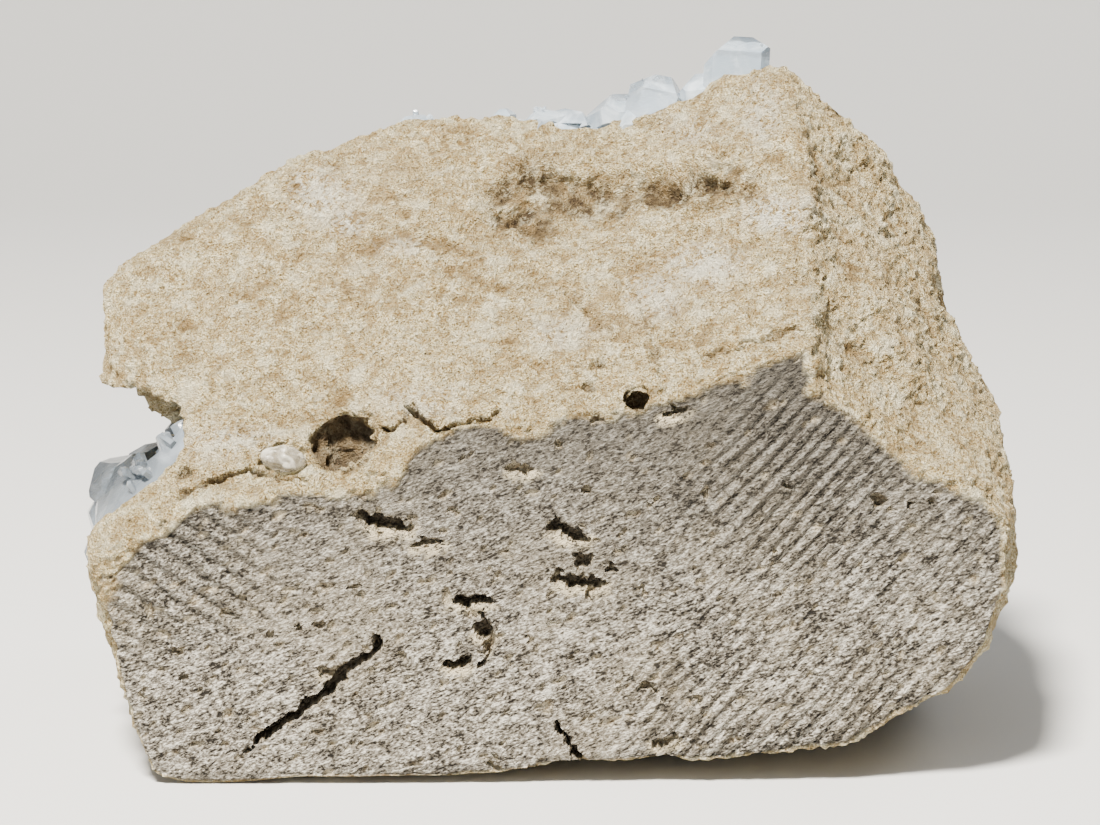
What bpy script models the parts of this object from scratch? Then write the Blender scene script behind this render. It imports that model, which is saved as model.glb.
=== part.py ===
"""Rough celestite: a broken piece of geode wall with a sawn face and a hollow full of crystals.

Metres, +Z up. X runs along the sawn face, -Y is the sawn side, +Y and up is the mouth of the hollow.
The origin is on the flat foot, under the middle of the piece.
Tables are in millimetres and are scaled by MM where a shape is made.
"""
import math
import random

import bmesh
import bpy
from mathutils import Matrix, Vector, noise

MM = 0.001

# The block: driving sizes, in millimetres
SAWN_Y = -45.0
LEAD = 0.12          # how far the block runs on past the saw cut, as a share of its first stretch
TENSION = 0.6        # 1 is a full Catmull-Rom curve; less keeps the broken edges crisp
BACK_SHARE = 0.94    # width of the back outline, as a share of the widest one
BACK_FALL = 0.3      # slope from the widest outline down to the back one
BACK_LIMIT = 47.0    # the furthest the back outline reaches
BACK_FOOT, BACK_FOOT_SLOPE = 17.0, 0.35
RIM_LOW, RIM_HIGH = 2.0, 11.0    # how far the rim stands over the mouth's plane, at the foot and on top
CREST = 8.0          # least thickness of the crest over the hollow
LUMP_SIZE, LUMP_HEIGHT = 24.0, 1.3
KNOB_SIZE, KNOB_HEIGHT = 9.0, 0.8
SMOOTH_FOOT = (-3.0, 6.0)        # heights between which the lumps grow out of the flat foot
GAP = 0.3            # clearance between the stone and the crystals in it

# The hollow: its mouth is a tilted, rounded oval with a bay behind the high corner of the stone
MOUTH_CENTRE = Vector((0.0, 26.4, 62.5))
MOUTH_NORMAL = Vector((0.0, 0.88, 0.475)).normalized()
MOUTH_RIGHT = Vector((1.0, 0.0, 0.0))
MOUTH_UP = MOUTH_RIGHT.cross(MOUTH_NORMAL)
MOUTH_HALF_WIDTH, MOUTH_HALF_HEIGHT = 63.0, 35.0
MOUTH_SQUARENESS, MOUTH_WAVER = 2.3, 7.0
BAY_ANGLE, BAY_SPREAD, BAY_DEPTH = math.radians(50), math.radians(20), 7.5
WAVER_TURN = 2.3     # how quickly the mouth's outline wavers
BOWL_DEPTH, BOWL_FULLNESS = 39.0, 0.92
BOWL_SEGMENTS, BOWL_RINGS = 28, 7     # a multiple of four, as SEGMENTS is
BOWL_LUMP_SIZE, BOWL_LUMP_HEIGHT = 16.0, 1.4
# Rings of the open space over the mouth: share of the mouth's radius, height over its plane
OPEN_RINGS = [(1.08, 16.0), (1.25, 45.0), (0.0, 46.0)]
CRUST_SPARE, CRUST_INNER = 1.5, 3.4
CRUST_UNDER_RIM = 1.0
CEILING_RISE = 4.6   # leaves the side pocket's ceiling bare

# The side pocket that breaks out of the left edge
POCKET_CENTRE = Vector((-82.0, -2.0, 43.5))
POCKET_RADII = Vector((37.0, 44.0, 15.0))
POCKET_TILT, POCKET_PITCH = math.radians(-11.0), math.radians(-12.0)
POCKET_LUMP_TURN, POCKET_LUMP_HEIGHT = 2.2, 2.6

# Stations round the block, from the left tip over the top and back along the foot:
# x, z of the outline on the sawn face, then x, y, z of the widest outline behind it.
STATIONS = [
    ((-74.6, 37.2), (-77.1, -22.0, 32.3)),
    ((-71.2, 40.6), (-79.2, -14.0, 44.7)),
    ((-60.1, 46.1), (-77.1, -10.0, 57.9)),
    ((-51.1, 48.1), (-75.9, -8.0, 68.8)),
    ((-42.1, 49.9), (-76.6, -6.0, 77.2)),
    ((-34.4, 48.6), (-67.4, -3.0, 83.8)),
    ((-29.2, 49.9), (-57.8, 0.0, 88.5)),
    ((-24.3, 54.9), (-42.8, 4.0, 96.3)),
    ((-19.4, 59.1), (-27.4, 8.0, 100.5)),
    ((-11.3, 61.0), (-18.3, 10.0, 102.1)),
    ((-1.6, 61.0), (-5.3, 12.0, 100.8)),
    ((8.1, 63.2), (8.8, 12.0, 99.5)),
    ((16.1, 65.5), (18.4, 11.0, 101.4)),
    ((30.6, 69.8), (30.0, 9.0, 108.7)),
    ((38.5, 73.4), (39.0, 7.0, 111.5)),
    ((42.6, 74.2), (42.3, 6.0, 110.7)),
    ((43.5, 67.1), (51.1, 9.0, 103.9)),
    ((47.1, 64.3), (61.3, 12.0, 91.9)),
    ((52.0, 60.2), (68.7, 13.0, 81.6)),
    ((57.4, 54.9), (70.0, 10.0, 71.7)),
    ((64.8, 51.9), (73.3, 4.0, 63.9)),
    ((70.5, 48.6), (77.8, -2.0, 54.0)),
    ((75.0, 43.9), (78.2, -14.0, 44.7)),
    ((75.3, 34.3), (78.1, -20.0, 32.1)),
    ((71.2, 25.0), (76.4, -8.0, 17.5)),
    ((65.7, 16.5), (68.0, 6.0, 4.6)),
    ((57.5, 12.4), (60.0, 20.0, -1.0)),
    ((49.4, 6.6), (50.0, 26.0, -4.0)),
    ((34.6, 5.6), (35.0, 28.0, -4.0)),
    ((18.1, 4.1), (18.0, 28.0, -4.0)),
    ((1.6, 3.5), (2.0, 28.0, -4.0)),
    ((-19.8, 1.6), (-19.0, 28.0, -4.0)),
    ((-41.3, 1.1), (-40.0, 26.0, -4.0)),
    ((-55.3, 0.0), (-54.0, 20.0, -4.0)),
    ((-66.0, 1.8), (-67.0, 4.0, 2.1)),
    ((-70.1, 21.6), (-75.1, -14.0, 16.2)),
]
SEGMENTS = 2 * len(STATIONS)
RING_STEPS = (1, 1, 9, 3, 3)    # mesh rings: nose, lead-in, sawn edge to rim, rim to back, back cap
FRONT_POLE = Vector((0.0, -60.0, 34.0))
BACK_POLE = Vector((0.0, 52.0, 52.0))

# Ledges on the natural face, as ridge or trench lines: points x, z, then half width and height
LEDGES = [
    ([(-9.0, 97.5), (2.0, 95.0), (12.0, 94.5), (22.0, 96.0), (32.0, 99.0)], 2.6, 1.5),
    ([(-10.0, 91.0), (0.0, 90.0), (9.0, 89.5), (17.0, 90.5), (25.0, 92.5), (32.0, 93.5)], 2.8, -1.3),
    ([(13.0, 72.0), (14.5, 82.0), (22.0, 89.0), (40.0, 89.5), (44.5, 84.0), (45.0, 74.0)], 2.5, -1.2),
    ([(52.0, 80.0), (57.0, 72.0), (60.0, 62.0)], 3.0, 1.4),
]

# Pits: x, z on the stone's front, half width, half height, depth, turn in degrees
PITS = [
    (-26.5, 44.8, 4.8, 1.5, 4.0, -15),
    (-33.4, 57.9, 5.2, 4.4, 5.5, 5),
    (2.9, 43.2, 3.9, 1.3, 3.5, -16),
    (4.5, 35.3, 5.2, 1.2, 3.5, -5),
    (5.6, 38.9, 1.6, 2.0, 3.0, 10),
    (10.2, 37.1, 2.2, 1.1, 2.5, -12),
    (-12.7, 32.2, 3.6, 1.2, 4.0, -3),
    (-11.0, 27.1, 2.2, 1.5, 3.5, -35),
    (-15.0, 21.6, 2.6, 1.2, 3.5, 15),
    (14.0, 65.6, 2.2, 1.8, 4.0, 20),
    (20.2, 63.4, 2.6, 0.9, 2.5, 14),
    (53.5, 48.0, 1.4, 1.5, 3.0, 40),
]
# Cracks in the sawn face: x, z and half width along each
CRACKS = [
    [(-27.4, 26.0, 0.5), (-28.5, 23.4, 1.0), (-31.9, 20.8, 1.1), (-35.8, 16.8, 1.3),
     (-40.2, 13.7, 1.0), (-45.3, 10.5, 0.7), (-49.2, 7.4, 0.4)],
    [(0.6, 12.3, 0.4), (2.6, 9.6, 0.7), (5.2, 5.2, 0.9), (6.4, 2.4, 1.2)],
]
CRACK_DEPTH = 3.5    # how many times deeper than wide a crack is

# Crystals that stand above the rim: tip, direction, length, width, thickness, roll in degrees
RIM_CRYSTALS = [
    ((33.4, 21.5, 117.0), (0.06, 0.22, 0.97), 21.0, 11.5, 9.0, 12),
    ((26.5, 20.5, 110.5), (-0.10, 0.25, 0.96), 15.0, 7.5, 7.0, -25),
    ((20.0, 20.0, 110.2), (0.22, 0.20, 0.95), 17.0, 9.0, 7.0, 30),
    ((13.0, 23.0, 106.6), (-0.15, 0.32, 0.93), 17.0, 13.0, 9.0, 8),
    ((13.8, 18.0, 105.0), (0.05, 0.05, 1.00), 12.0, 9.0, 6.0, -20),
    ((5.0, 20.5, 103.9), (0.30, 0.30, 0.90), 15.0, 9.5, 7.5, 18),
    ((-2.0, 20.0, 104.0), (-0.35, 0.25, 0.90), 15.0, 11.0, 7.0, -8),
    ((-8.5, 18.5, 104.6), (-0.10, 0.15, 0.97), 10.0, 4.5, 4.0, 35),
    ((-24.5, 16.5, 103.6), (-0.15, 0.15, 0.96), 13.0, 8.0, 6.0, 10),
    ((42.0, 24.0, 106.0), (0.25, 0.35, 0.90), 17.0, 9.0, 8.0, 40),
]
# Crystals seen through the break in the left edge, in the same terms
POCKET_CRYSTALS = [
    ((-79.0, -13.0, 39.5), (-0.80, -0.05, 0.45), 26.0, 15.0, 12.0, 15),
    ((-74.0, -8.0, 46.5), (-0.55, 0.05, 0.80), 24.0, 14.0, 11.0, -20),
    ((-66.0, 6.0, 48.5), (-0.30, 0.10, 0.95), 22.0, 13.0, 10.0, 35),
    ((-79.0, -19.0, 34.5), (-0.85, -0.10, 0.30), 17.0, 9.0, 8.0, 50),
    ((-64.5, -29.0, 47.2), (-0.15, -0.10, 0.98), 8.0, 4.6, 4.2, 10),
    ((-68.6, -31.0, 45.2), (-0.30, -0.15, 0.94), 8.5, 5.6, 4.8, 40),
    ((-72.0, -31.5, 42.0), (-0.45, -0.20, 0.86), 8.0, 5.4, 4.6, -15),
    ((-76.5, -30.0, 37.2), (-0.70, -0.15, 0.66), 9.0, 6.0, 5.0, 20),
    ((-59.5, -28.0, 52.6), (-0.60, -0.30, 0.72), 9.0, 7.5, 4.0, 65),
    ((-80.0, 12.0, 42.0), (-0.70, 0.25, 0.60), 20.0, 11.0, 9.0, 5),
    ((-76.0, 26.0, 40.0), (-0.60, 0.40, 0.68), 19.0, 11.0, 9.0, 60),
]
# Rows of crystals over the bowl: way from its bottom to its mouth, how many, length, width
BOWL_ROWS = [
    (0.12, 2, 27.0, 22.0),
    (0.36, 6, 25.0, 20.0),
    (0.58, 8, 23.0, 17.5),
    (0.77, 10, 19.0, 15.0),
    (0.93, 12, 14.5, 12.0),
]
ROOT = 3.0           # how deep a crystal is rooted in the crust
WALL = 1.5           # the least stone left behind a crystal's root
SPREAD = 0.28        # how far a bowl crystal may sit from its even place in its row
LEAN_TO_MOUTH = 0.45
JITTER = 0.34        # how far it may lean off its line
SEED = 11

# A crystal's plane cuts: ranges that each cut is drawn from
CHAMFER_COUNTS = (1, 2, 2)
CHAMFER_LEAN, CHAMFER_REACH = (34, 46), (0.76, 0.90)
ROOF_LEAN, ROOF_RIDGE = (38, 52), (0.02, 0.14)
END_LEAN, END_SHOULDER = (30, 56), (0.06, 0.26)

# A single clear crystal set in the natural face
LONE_CENTRE = Vector((-43.4, -39.5, 54.2))
LONE_RADII = Vector((4.6, 2.6, 2.7))
LONE_LUMP_TURN, LONE_LUMP = 1.3, 0.25

PIT_LUMP_TURN, PIT_LUMP = 1.7, 0.32
LEDGE_BACK = 8.0     # the ledges are only on what lies in front of this

COLOURS = {
    "matrix_stone": ((0.58, 0.50, 0.36), 0.95),
    "celestite_crust": ((0.50, 0.60, 0.70), 0.15),
    "lone_crystal": ((0.80, 0.79, 0.72), 0.25),
}


def remove_everything():
    for thing in list(bpy.data.objects):
        bpy.data.objects.remove(thing, do_unlink=True)


def new_collection(name, hidden=False):
    made = bpy.data.collections.new(name)
    bpy.context.scene.collection.children.link(made)
    made.hide_render = hidden
    return made


def add_object(name, mesh, collection, cutter=False):
    made = bpy.data.objects.new(name, mesh)
    collection.objects.link(made)
    if cutter:
        made.hide_render = True
        made.display_type = "WIRE"
    return made


def paint(thing):
    colour, roughness = COLOURS[thing.name]
    material = bpy.data.materials.new(thing.name)
    material.use_nodes = True
    shader = material.node_tree.nodes["Principled BSDF"]
    shader.inputs["Base Color"].default_value = (*colour, 1.0)
    shader.inputs["Roughness"].default_value = roughness
    thing.data.materials.append(material)


def smooth_step(low, high, value):
    t = min(1.0, max(0.0, (value - low) / (high - low)))
    return t * t * (3 - 2 * t)


def spline(p0, p1, p2, p3, t, tension):
    """A cardinal curve: it runs from p1 to p2 as t goes from 0 to 1."""
    leave, arrive = (p2 - p0) * (0.5 * tension), (p3 - p1) * (0.5 * tension)
    t2, t3 = t * t, t ** 3
    return (p1 * (2 * t3 - 3 * t2 + 1) + leave * (t3 - 2 * t2 + t)
            + p2 * (3 * t2 - 2 * t3) + arrive * (t3 - t2))


def on_ring(ring, u):
    """A point of the closed curve through a ring's stations. u counts stations."""
    i, t = int(math.floor(u)), u - math.floor(u)
    return spline(*(ring[(i + k) % len(ring)] for k in (-1, 0, 1, 2)), t, TENSION)


def back_station(middle):
    """The back outline follows the widest one, on a plane that leans as the mouth does."""
    rim = RIM_LOW + (RIM_HIGH - RIM_LOW) * smooth_step(30.0, 100.0, middle.z)
    y = MOUTH_CENTRE.y + (rim - (middle.z - MOUTH_CENTRE.z) * MOUTH_NORMAL.z) / MOUTH_NORMAL.y
    y = max(min(y, BACK_LIMIT), middle.y + CREST)
    z = middle.z - BACK_FALL * (y - middle.y)
    return Vector((middle.x * BACK_SHARE, y, max(z, BACK_FOOT + BACK_FOOT_SLOPE * z)))


def block_rings():
    front = [Vector((f[0], SAWN_Y, f[1])) for f, _ in STATIONS]
    middle = [Vector(m) for _, m in STATIONS]
    lead = [f + (f - m) * LEAD for f, m in zip(front, middle)]
    back = [back_station(m) for m in middle]
    return [[FRONT_POLE] * len(front), lead, front, middle, back, [BACK_POLE] * len(front)]


def block_point(rings, u, v):
    """v counts rings from the front pole; the first and last rings are single points."""
    i = min(int(math.floor(v)), len(rings) - 2)
    t = v - i
    near = [on_ring(rings[min(max(i + k, 0), len(rings) - 1)], u) for k in (-1, 0, 1, 2)]
    if i in (0, 1, len(rings) - 2):
        return near[1].lerp(near[2], t)
    return spline(*near, t, TENSION)


def ring_values():
    values = [0.0]
    for i, steps in enumerate(RING_STEPS):
        values += [i + (k + 1) / steps for k in range(steps)]
    return values


def sphere_grid(segments, rings):
    """A UV sphere primitive as a bmesh, with each vertex's column and row in its grid.

    It is triangulated the same way each time, so that a grown copy stays clear of the first.
    """
    bm = bmesh.new()
    bmesh.ops.create_uvsphere(bm, u_segments=segments, v_segments=rings, radius=1.0)
    bmesh.ops.triangulate(bm, faces=bm.faces, quad_method="FIXED")
    grid = {}
    for vert in bm.verts:
        v = round(math.acos(max(-1.0, min(1.0, vert.co.z))) / math.pi * rings)
        u = round(math.atan2(vert.co.y, vert.co.x) / (2 * math.pi) * segments) % segments
        grid[vert] = (u, v)
    return bm, grid


def face_outwards(bm):
    if bm.calc_volume(signed=True) < 0:
        bmesh.ops.reverse_faces(bm, faces=bm.faces)
    bm.normal_update()


def move_along_normals(bm, height):
    """Moves each vertex along its normal by height(vertex place)."""
    face_outwards(bm)
    moved = [vert.co + vert.normal * height(vert.co) for vert in bm.verts]
    for vert, place in zip(bm.verts, moved):
        vert.co = place


def line_distance(p, line):
    """How far the point is from a polyline, seen from the front."""
    best = 1e9
    here = Vector((p.x, p.z))
    for a, b in zip(line, line[1:]):
        a, b = Vector(a), Vector(b)
        run = b - a
        t = min(1.0, max(0.0, (here - a).dot(run) / run.length_squared))
        best = min(best, (here - a - run * t).length)
    return best


def lumps(p):
    """Height of the natural surface's broad lumps, ridges and knobs, in millimetres."""
    broad = noise.noise(p / LUMP_SIZE) * LUMP_HEIGHT
    ridged = (0.35 - abs(noise.noise(p / LUMP_SIZE * 1.7 + Vector((9, 4, 2))))) * LUMP_HEIGHT
    small = noise.noise(p / KNOB_SIZE + Vector((3, 7, 5))) * KNOB_HEIGHT
    return (broad + ridged + small) * smooth_step(*SMOOTH_FOOT, p.z)


def ledges(p):
    """Height of the named ledges and trenches at a point of the front face."""
    if p.y > LEDGE_BACK:
        return 0.0
    total = 0.0
    for line, half_width, height in LEDGES:
        away = line_distance(p, line) / half_width
        total += height * math.exp(-away * away)
    return total


def finish_mesh(bm, name):
    for vert in bm.verts:
        vert.co *= MM
    face_outwards(bm)
    mesh = bpy.data.meshes.new(name)
    bm.to_mesh(mesh)
    bm.free()
    return mesh


def cut_flat(bm, point, outward):
    """Cuts away what is past a plane and closes the cut with one flat face."""
    found = bmesh.ops.bisect_plane(
        bm, geom=bm.verts[:] + bm.edges[:] + bm.faces[:], dist=1e-4,
        plane_co=point, plane_no=outward, clear_outer=True)
    edges = [e for e in found["geom_cut"] if isinstance(e, bmesh.types.BMEdge)]
    bmesh.ops.edgeloop_fill(bm, edges=edges)


def block_mesh(name, grow=0.0):
    """The stone before anything is cut out of it. grow moves its surface outwards."""
    values = ring_values()
    rings = block_rings()
    bm, grid = sphere_grid(SEGMENTS, len(values) - 1)
    for vert, (u, v) in grid.items():
        vert.co = block_point(rings, u * len(STATIONS) / SEGMENTS, values[v])
    move_along_normals(bm, lambda p: lumps(p) + ledges(p) + grow)
    cut_flat(bm, Vector((0, SAWN_Y - grow, 0)), Vector((0, -1, 0)))
    cut_flat(bm, Vector((0, 0, -grow)), Vector((0, 0, -1)))
    return finish_mesh(bm, name)


def mouth_radius(angle):
    n = MOUTH_SQUARENESS
    across = abs(math.cos(angle) / MOUTH_HALF_WIDTH) ** n
    along = abs(math.sin(angle) / MOUTH_HALF_HEIGHT) ** n
    turn = (angle - BAY_ANGLE + math.pi) % (2 * math.pi) - math.pi
    bay = BAY_DEPTH * math.exp(-(turn / BAY_SPREAD) ** 2)
    waver = noise.noise(Vector((math.cos(angle), math.sin(angle), 0.4)) * WAVER_TURN) * MOUTH_WAVER
    return (across + along) ** (-1.0 / n) + bay + waver


def hollow_point(angle, ring):
    """A point of the bowl below the mouth, or of the open space above it."""
    if ring <= BOWL_RINGS:
        turn = ring / BOWL_RINGS * math.pi / 2
        share, height = math.sin(turn) ** BOWL_FULLNESS, -BOWL_DEPTH * math.cos(turn)
    else:
        share, height = OPEN_RINGS[ring - BOWL_RINGS - 1]
    radius = mouth_radius(angle) * share
    flat = MOUTH_RIGHT * (radius * math.cos(angle)) + MOUTH_UP * (radius * math.sin(angle))
    return MOUTH_CENTRE + flat + MOUTH_NORMAL * height


def hollow_mesh(name, inset):
    """The space of the bowl as a solid. inset makes it smaller all round."""
    bm, grid = sphere_grid(BOWL_SEGMENTS, BOWL_RINGS + len(OPEN_RINGS))
    for vert, (u, v) in grid.items():
        vert.co = hollow_point(2 * math.pi * u / BOWL_SEGMENTS, v)

    def height(p):
        return noise.noise(p / BOWL_LUMP_SIZE + Vector((1, 5, 8))) * BOWL_LUMP_HEIGHT - inset

    move_along_normals(bm, height)
    return finish_mesh(bm, name)


def pocket_mesh(name, inset, rise=0.0):
    """The side pocket as a tilted, lumpy ellipsoid. rise lifts it past its own ceiling."""
    bm = bmesh.new()
    bmesh.ops.create_icosphere(bm, subdivisions=3, radius=1.0)
    turn = Matrix.Rotation(POCKET_PITCH, 3, "X") @ Matrix.Rotation(POCKET_TILT, 3, "Y")
    for vert in bm.verts:
        outward = vert.co.copy()
        bump = noise.noise(outward * POCKET_LUMP_TURN + Vector((4, 1, 6))) * POCKET_LUMP_HEIGHT
        size = POCKET_RADII + Vector((1, 1, 1)) * (bump - inset)
        vert.co = POCKET_CENTRE + turn @ Vector([a * b for a, b in zip(outward, size)])
        vert.co.z += rise
    return finish_mesh(bm, name)


def boolean(target, operation, other, solver="EXACT"):
    modifier = target.modifiers.new(operation.title(), "BOOLEAN")
    modifier.operation = operation
    modifier.solver = solver
    modifier.object = other


def hollow_cutter(name, inset, cutters, rise=0.0):
    """Bowl and side pocket as one cutter."""
    bowl = add_object(name, hollow_mesh(name, inset), cutters, cutter=True)
    mesh = pocket_mesh(name + "_pocket", inset, rise)
    pocket = add_object(name + "_pocket", mesh, cutters, cutter=True)
    boolean(bowl, "UNION", pocket)
    return bowl


def front_surface(block, x, z):
    """Where a line along +Y first meets the block, in millimetres."""
    found, place, _, _ = block.ray_cast(Vector((x, 2 * SAWN_Y, z)) * MM, Vector((0, 1, 0)))
    return place / MM if found else Vector((x, SAWN_Y, z))


def pit_cutter(index, pit, block, cutters):
    """A lumpy, flattened ball set into the front of the stone."""
    x, z, half_width, half_height, depth, turn_degrees = pit
    bm = bmesh.new()
    bmesh.ops.create_icosphere(bm, subdivisions=2, radius=1.0)
    turn = Matrix.Rotation(math.radians(-turn_degrees), 3, "Y")
    centre = front_surface(block, x, z)
    for vert in bm.verts:
        lump = 1.0 + PIT_LUMP * noise.noise(vert.co * PIT_LUMP_TURN + Vector((index * 3.1, 2, 7)))
        shape = Vector((vert.co.x * half_width, vert.co.y * depth, vert.co.z * half_height))
        vert.co = centre + turn @ (shape * lump)
    return add_object(f"pit_{index}", finish_mesh(bm, f"pit_{index}"), cutters, cutter=True)


def crack_cutter(index, crack, cutters):
    """A tapering wire along the crack, stretched into the stone."""
    line = bpy.data.curves.new(f"crack_line_{index}", "CURVE")
    line.dimensions = "3D"
    line.bevel_depth = MM
    line.bevel_resolution = 1
    line.use_fill_caps = True
    run = line.splines.new("POLY")
    run.points.add(len(crack) - 1)
    for point, (x, z, half_width) in zip(run.points, crack):
        point.co = (x * MM, 0.0, z * MM, 1.0)
        point.radius = half_width
    wire = add_object(f"crack_line_{index}", line, cutters, cutter=True)
    wire.location.y = SAWN_Y * MM
    wire.scale.y = CRACK_DEPTH
    bpy.context.view_layer.update()
    graph = bpy.context.evaluated_depsgraph_get()
    mesh = bpy.data.meshes.new_from_object(wire.evaluated_get(graph))
    mesh.transform(wire.matrix_world)
    bpy.data.objects.remove(wire)
    bm = bmesh.new()
    bm.from_mesh(mesh)
    bmesh.ops.remove_doubles(bm, verts=bm.verts, dist=1e-6)
    face_outwards(bm)
    bm.to_mesh(mesh)
    bm.free()
    return add_object(f"crack_{index}", mesh, cutters, cutter=True)


def trim(bm, normal, distance):
    """Cuts a flat face on a crystal: everything past distance along normal goes."""
    normal = Vector(normal).normalized()
    cut_flat(bm, normal * distance, normal)


def crystal_shape(width, thickness, length, dice):
    """A blocky prism along +Z with a chisel tip. Its flat faces are all plane cuts on a box."""
    bm = bmesh.new()
    bmesh.ops.create_cube(bm, size=1.0)
    bmesh.ops.scale(bm, vec=(width, thickness, length), verts=bm.verts)
    bmesh.ops.translate(bm, vec=(0, 0, length / 2), verts=bm.verts)
    corners = [(-1, -1), (-1, 1), (1, -1), (1, 1)]
    for side, face in dice.sample(corners, dice.choice(CHAMFER_COUNTS)):
        lean = math.radians(dice.uniform(*CHAMFER_LEAN))
        reach = width / 2 * math.cos(lean) + thickness / 2 * math.sin(lean)
        normal = (side * math.cos(lean), face * math.sin(lean), 0)
        trim(bm, normal, reach * dice.uniform(*CHAMFER_REACH))
    for side in (-1, 1):
        lean = math.radians(dice.uniform(*ROOF_LEAN))
        ridge = dice.uniform(*ROOF_RIDGE) * thickness
        trim(bm, (0, side * math.sin(lean), math.cos(lean)), length * math.cos(lean) + ridge)
    for side in (-1, 1):
        lean = math.radians(dice.uniform(*END_LEAN))
        shoulder = dice.uniform(*END_SHOULDER) * width
        reach = length * math.cos(lean) + shoulder * math.sin(lean)
        trim(bm, (side * math.sin(lean), 0, math.cos(lean)), reach)
    return bm


def shortfall(vert, block):
    """How much nearer the stone's outer surface a point is than WALL allows."""
    _, place, normal, _ = block.closest_point_on_mesh(vert.co * MM)
    return (vert.co - place / MM).dot(normal) + WALL


def place_crystal(name, foot, direction, size, roll, dice, crystals, block=None):
    """size is width, thickness and length. foot is the middle of the crystal's lower end."""
    bm = crystal_shape(*size, dice)
    along = Vector(direction).normalized()
    turn = along.to_track_quat("Z", "Y").to_matrix() @ Matrix.Rotation(math.radians(roll), 3, "Z")
    roots = [vert for vert in bm.verts if vert.co.z < size[2] * 0.3]
    for vert in bm.verts:
        vert.co = foot + turn @ vert.co
    if block:
        lift = max(0.0, *(shortfall(vert, block) for vert in roots))
        if lift > ROOT:
            bm.free()
            return
        bmesh.ops.translate(bm, vec=along * lift, verts=bm.verts)
    add_object(name, finish_mesh(bm, name), crystals, cutter=True)


def place_by_tip(prefix, table, dice, crystals):
    for i, (tip, direction, length, width, thickness, roll) in enumerate(table):
        foot = Vector(tip) - Vector(direction).normalized() * length
        place_crystal(f"{prefix}_{i}", foot, direction, (width, thickness, length), roll, dice, crystals)


def fill_bowl(dice, block, crystals):
    """Rows of crystals over the bowl, all leaning towards its mouth."""
    for row, (share, count, length, width) in enumerate(BOWL_ROWS):
        for k in range(count):
            angle = 2 * math.pi * (k + 0.5 * (row % 2) + dice.uniform(-SPREAD, SPREAD)) / count
            foot = hollow_point(angle, (share + dice.uniform(-0.04, 0.04)) * BOWL_RINGS)
            inward = (MOUTH_CENTRE + MOUTH_NORMAL * 6.0 - foot).normalized()
            jitter = Vector([dice.uniform(-JITTER, JITTER) for _ in range(3)])
            along = (inward + MOUTH_NORMAL * LEAN_TO_MOUTH + jitter).normalized()
            tall = length * dice.uniform(0.75, 1.2)
            wide = width * dice.uniform(0.75, 1.15)
            size = (wide, wide * dice.uniform(0.62, 0.85), tall)
            place_crystal(f"bowl_{row}_{k}", foot - along * ROOT, along, size,
                          dice.uniform(0, 180), dice, crystals, block)


def lone_mesh(name, grow):
    """The clear crystal in the natural face, or the seat it lies in."""
    bm = bmesh.new()
    bmesh.ops.create_icosphere(bm, subdivisions=2, radius=1.0)
    for vert in bm.verts:
        outward = vert.co.copy()
        lump = 1.0 + LONE_LUMP * noise.noise(outward * LONE_LUMP_TURN)
        size = LONE_RADII * lump + Vector((1, 1, 1)) * grow
        vert.co = LONE_CENTRE + Vector([a * b for a, b in zip(outward, size)])
    return finish_mesh(bm, name)


def keep_main_body(thing):
    """Bakes the modifiers and drops the splinters that the last cut leaves loose."""
    graph = bpy.context.evaluated_depsgraph_get()
    mesh = bpy.data.meshes.new_from_object(thing.evaluated_get(graph))
    bm = bmesh.new()
    bm.from_mesh(mesh)
    unseen, bodies = set(bm.verts), []
    while unseen:
        body, edge = set(), {unseen.pop()}
        while edge:
            body |= edge
            edge = {e.other_vert(v) for v in edge for e in v.link_edges} - body
        unseen -= body
        bodies.append(body)
    main_body = max(bodies, key=len)
    bmesh.ops.delete(bm, geom=[v for v in bm.verts if v not in main_body], context="VERTS")
    bm.to_mesh(mesh)
    bm.free()
    thing.modifiers.clear()
    thing.data = mesh


def build_stone(parts, cutters):
    stone = add_object("matrix_stone", block_mesh("matrix_stone"), parts)
    bpy.context.view_layer.update()
    marks = [pit_cutter(i, pit, stone, cutters) for i, pit in enumerate(PITS)]
    marks += [crack_cutter(i, crack, cutters) for i, crack in enumerate(CRACKS)]
    marks.append(add_object("lone_seat", lone_mesh("lone_seat", GAP), cutters, cutter=True))
    boolean(stone, "DIFFERENCE", hollow_cutter("hollow", 0.0, cutters))
    for mark in marks:
        boolean(stone, "DIFFERENCE", mark)
    return stone


def build_crust(parts, cutters):
    """Shell of the hollow, kept under the stone's rim, with the crystals grown on it."""
    dice = random.Random(SEED)
    crystals = new_collection("crystals", hidden=True)
    low = block_mesh("under_rim", -CRUST_UNDER_RIM)
    under_rim = add_object("under_rim", low, cutters, cutter=True)
    keep_out = add_object("keep_out", block_mesh("keep_out", GAP), cutters, cutter=True)
    bpy.context.view_layer.update()
    place_by_tip("rim", RIM_CRYSTALS, dice, crystals)
    place_by_tip("pocket", POCKET_CRYSTALS, dice, crystals)
    fill_bowl(dice, keep_out, crystals)
    boolean(keep_out, "DIFFERENCE", hollow_cutter("keep_out_hollow", GAP, cutters))
    crust = hollow_cutter("celestite_crust", -CRUST_SPARE, cutters)
    cutters.objects.unlink(crust)
    parts.objects.link(crust)
    crust.hide_render = False
    crust.display_type = "TEXTURED"
    boolean(crust, "INTERSECT", under_rim)
    inside = hollow_cutter("crust_inside", CRUST_INNER, cutters, rise=CEILING_RISE)
    boolean(crust, "DIFFERENCE", inside)
    for crystal in crystals.objects:
        boolean(crust, "UNION", crystal, "MANIFOLD")
    boolean(crust, "DIFFERENCE", keep_out, "MANIFOLD")
    bpy.context.view_layer.update()
    keep_main_body(crust)
    return crust


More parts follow.
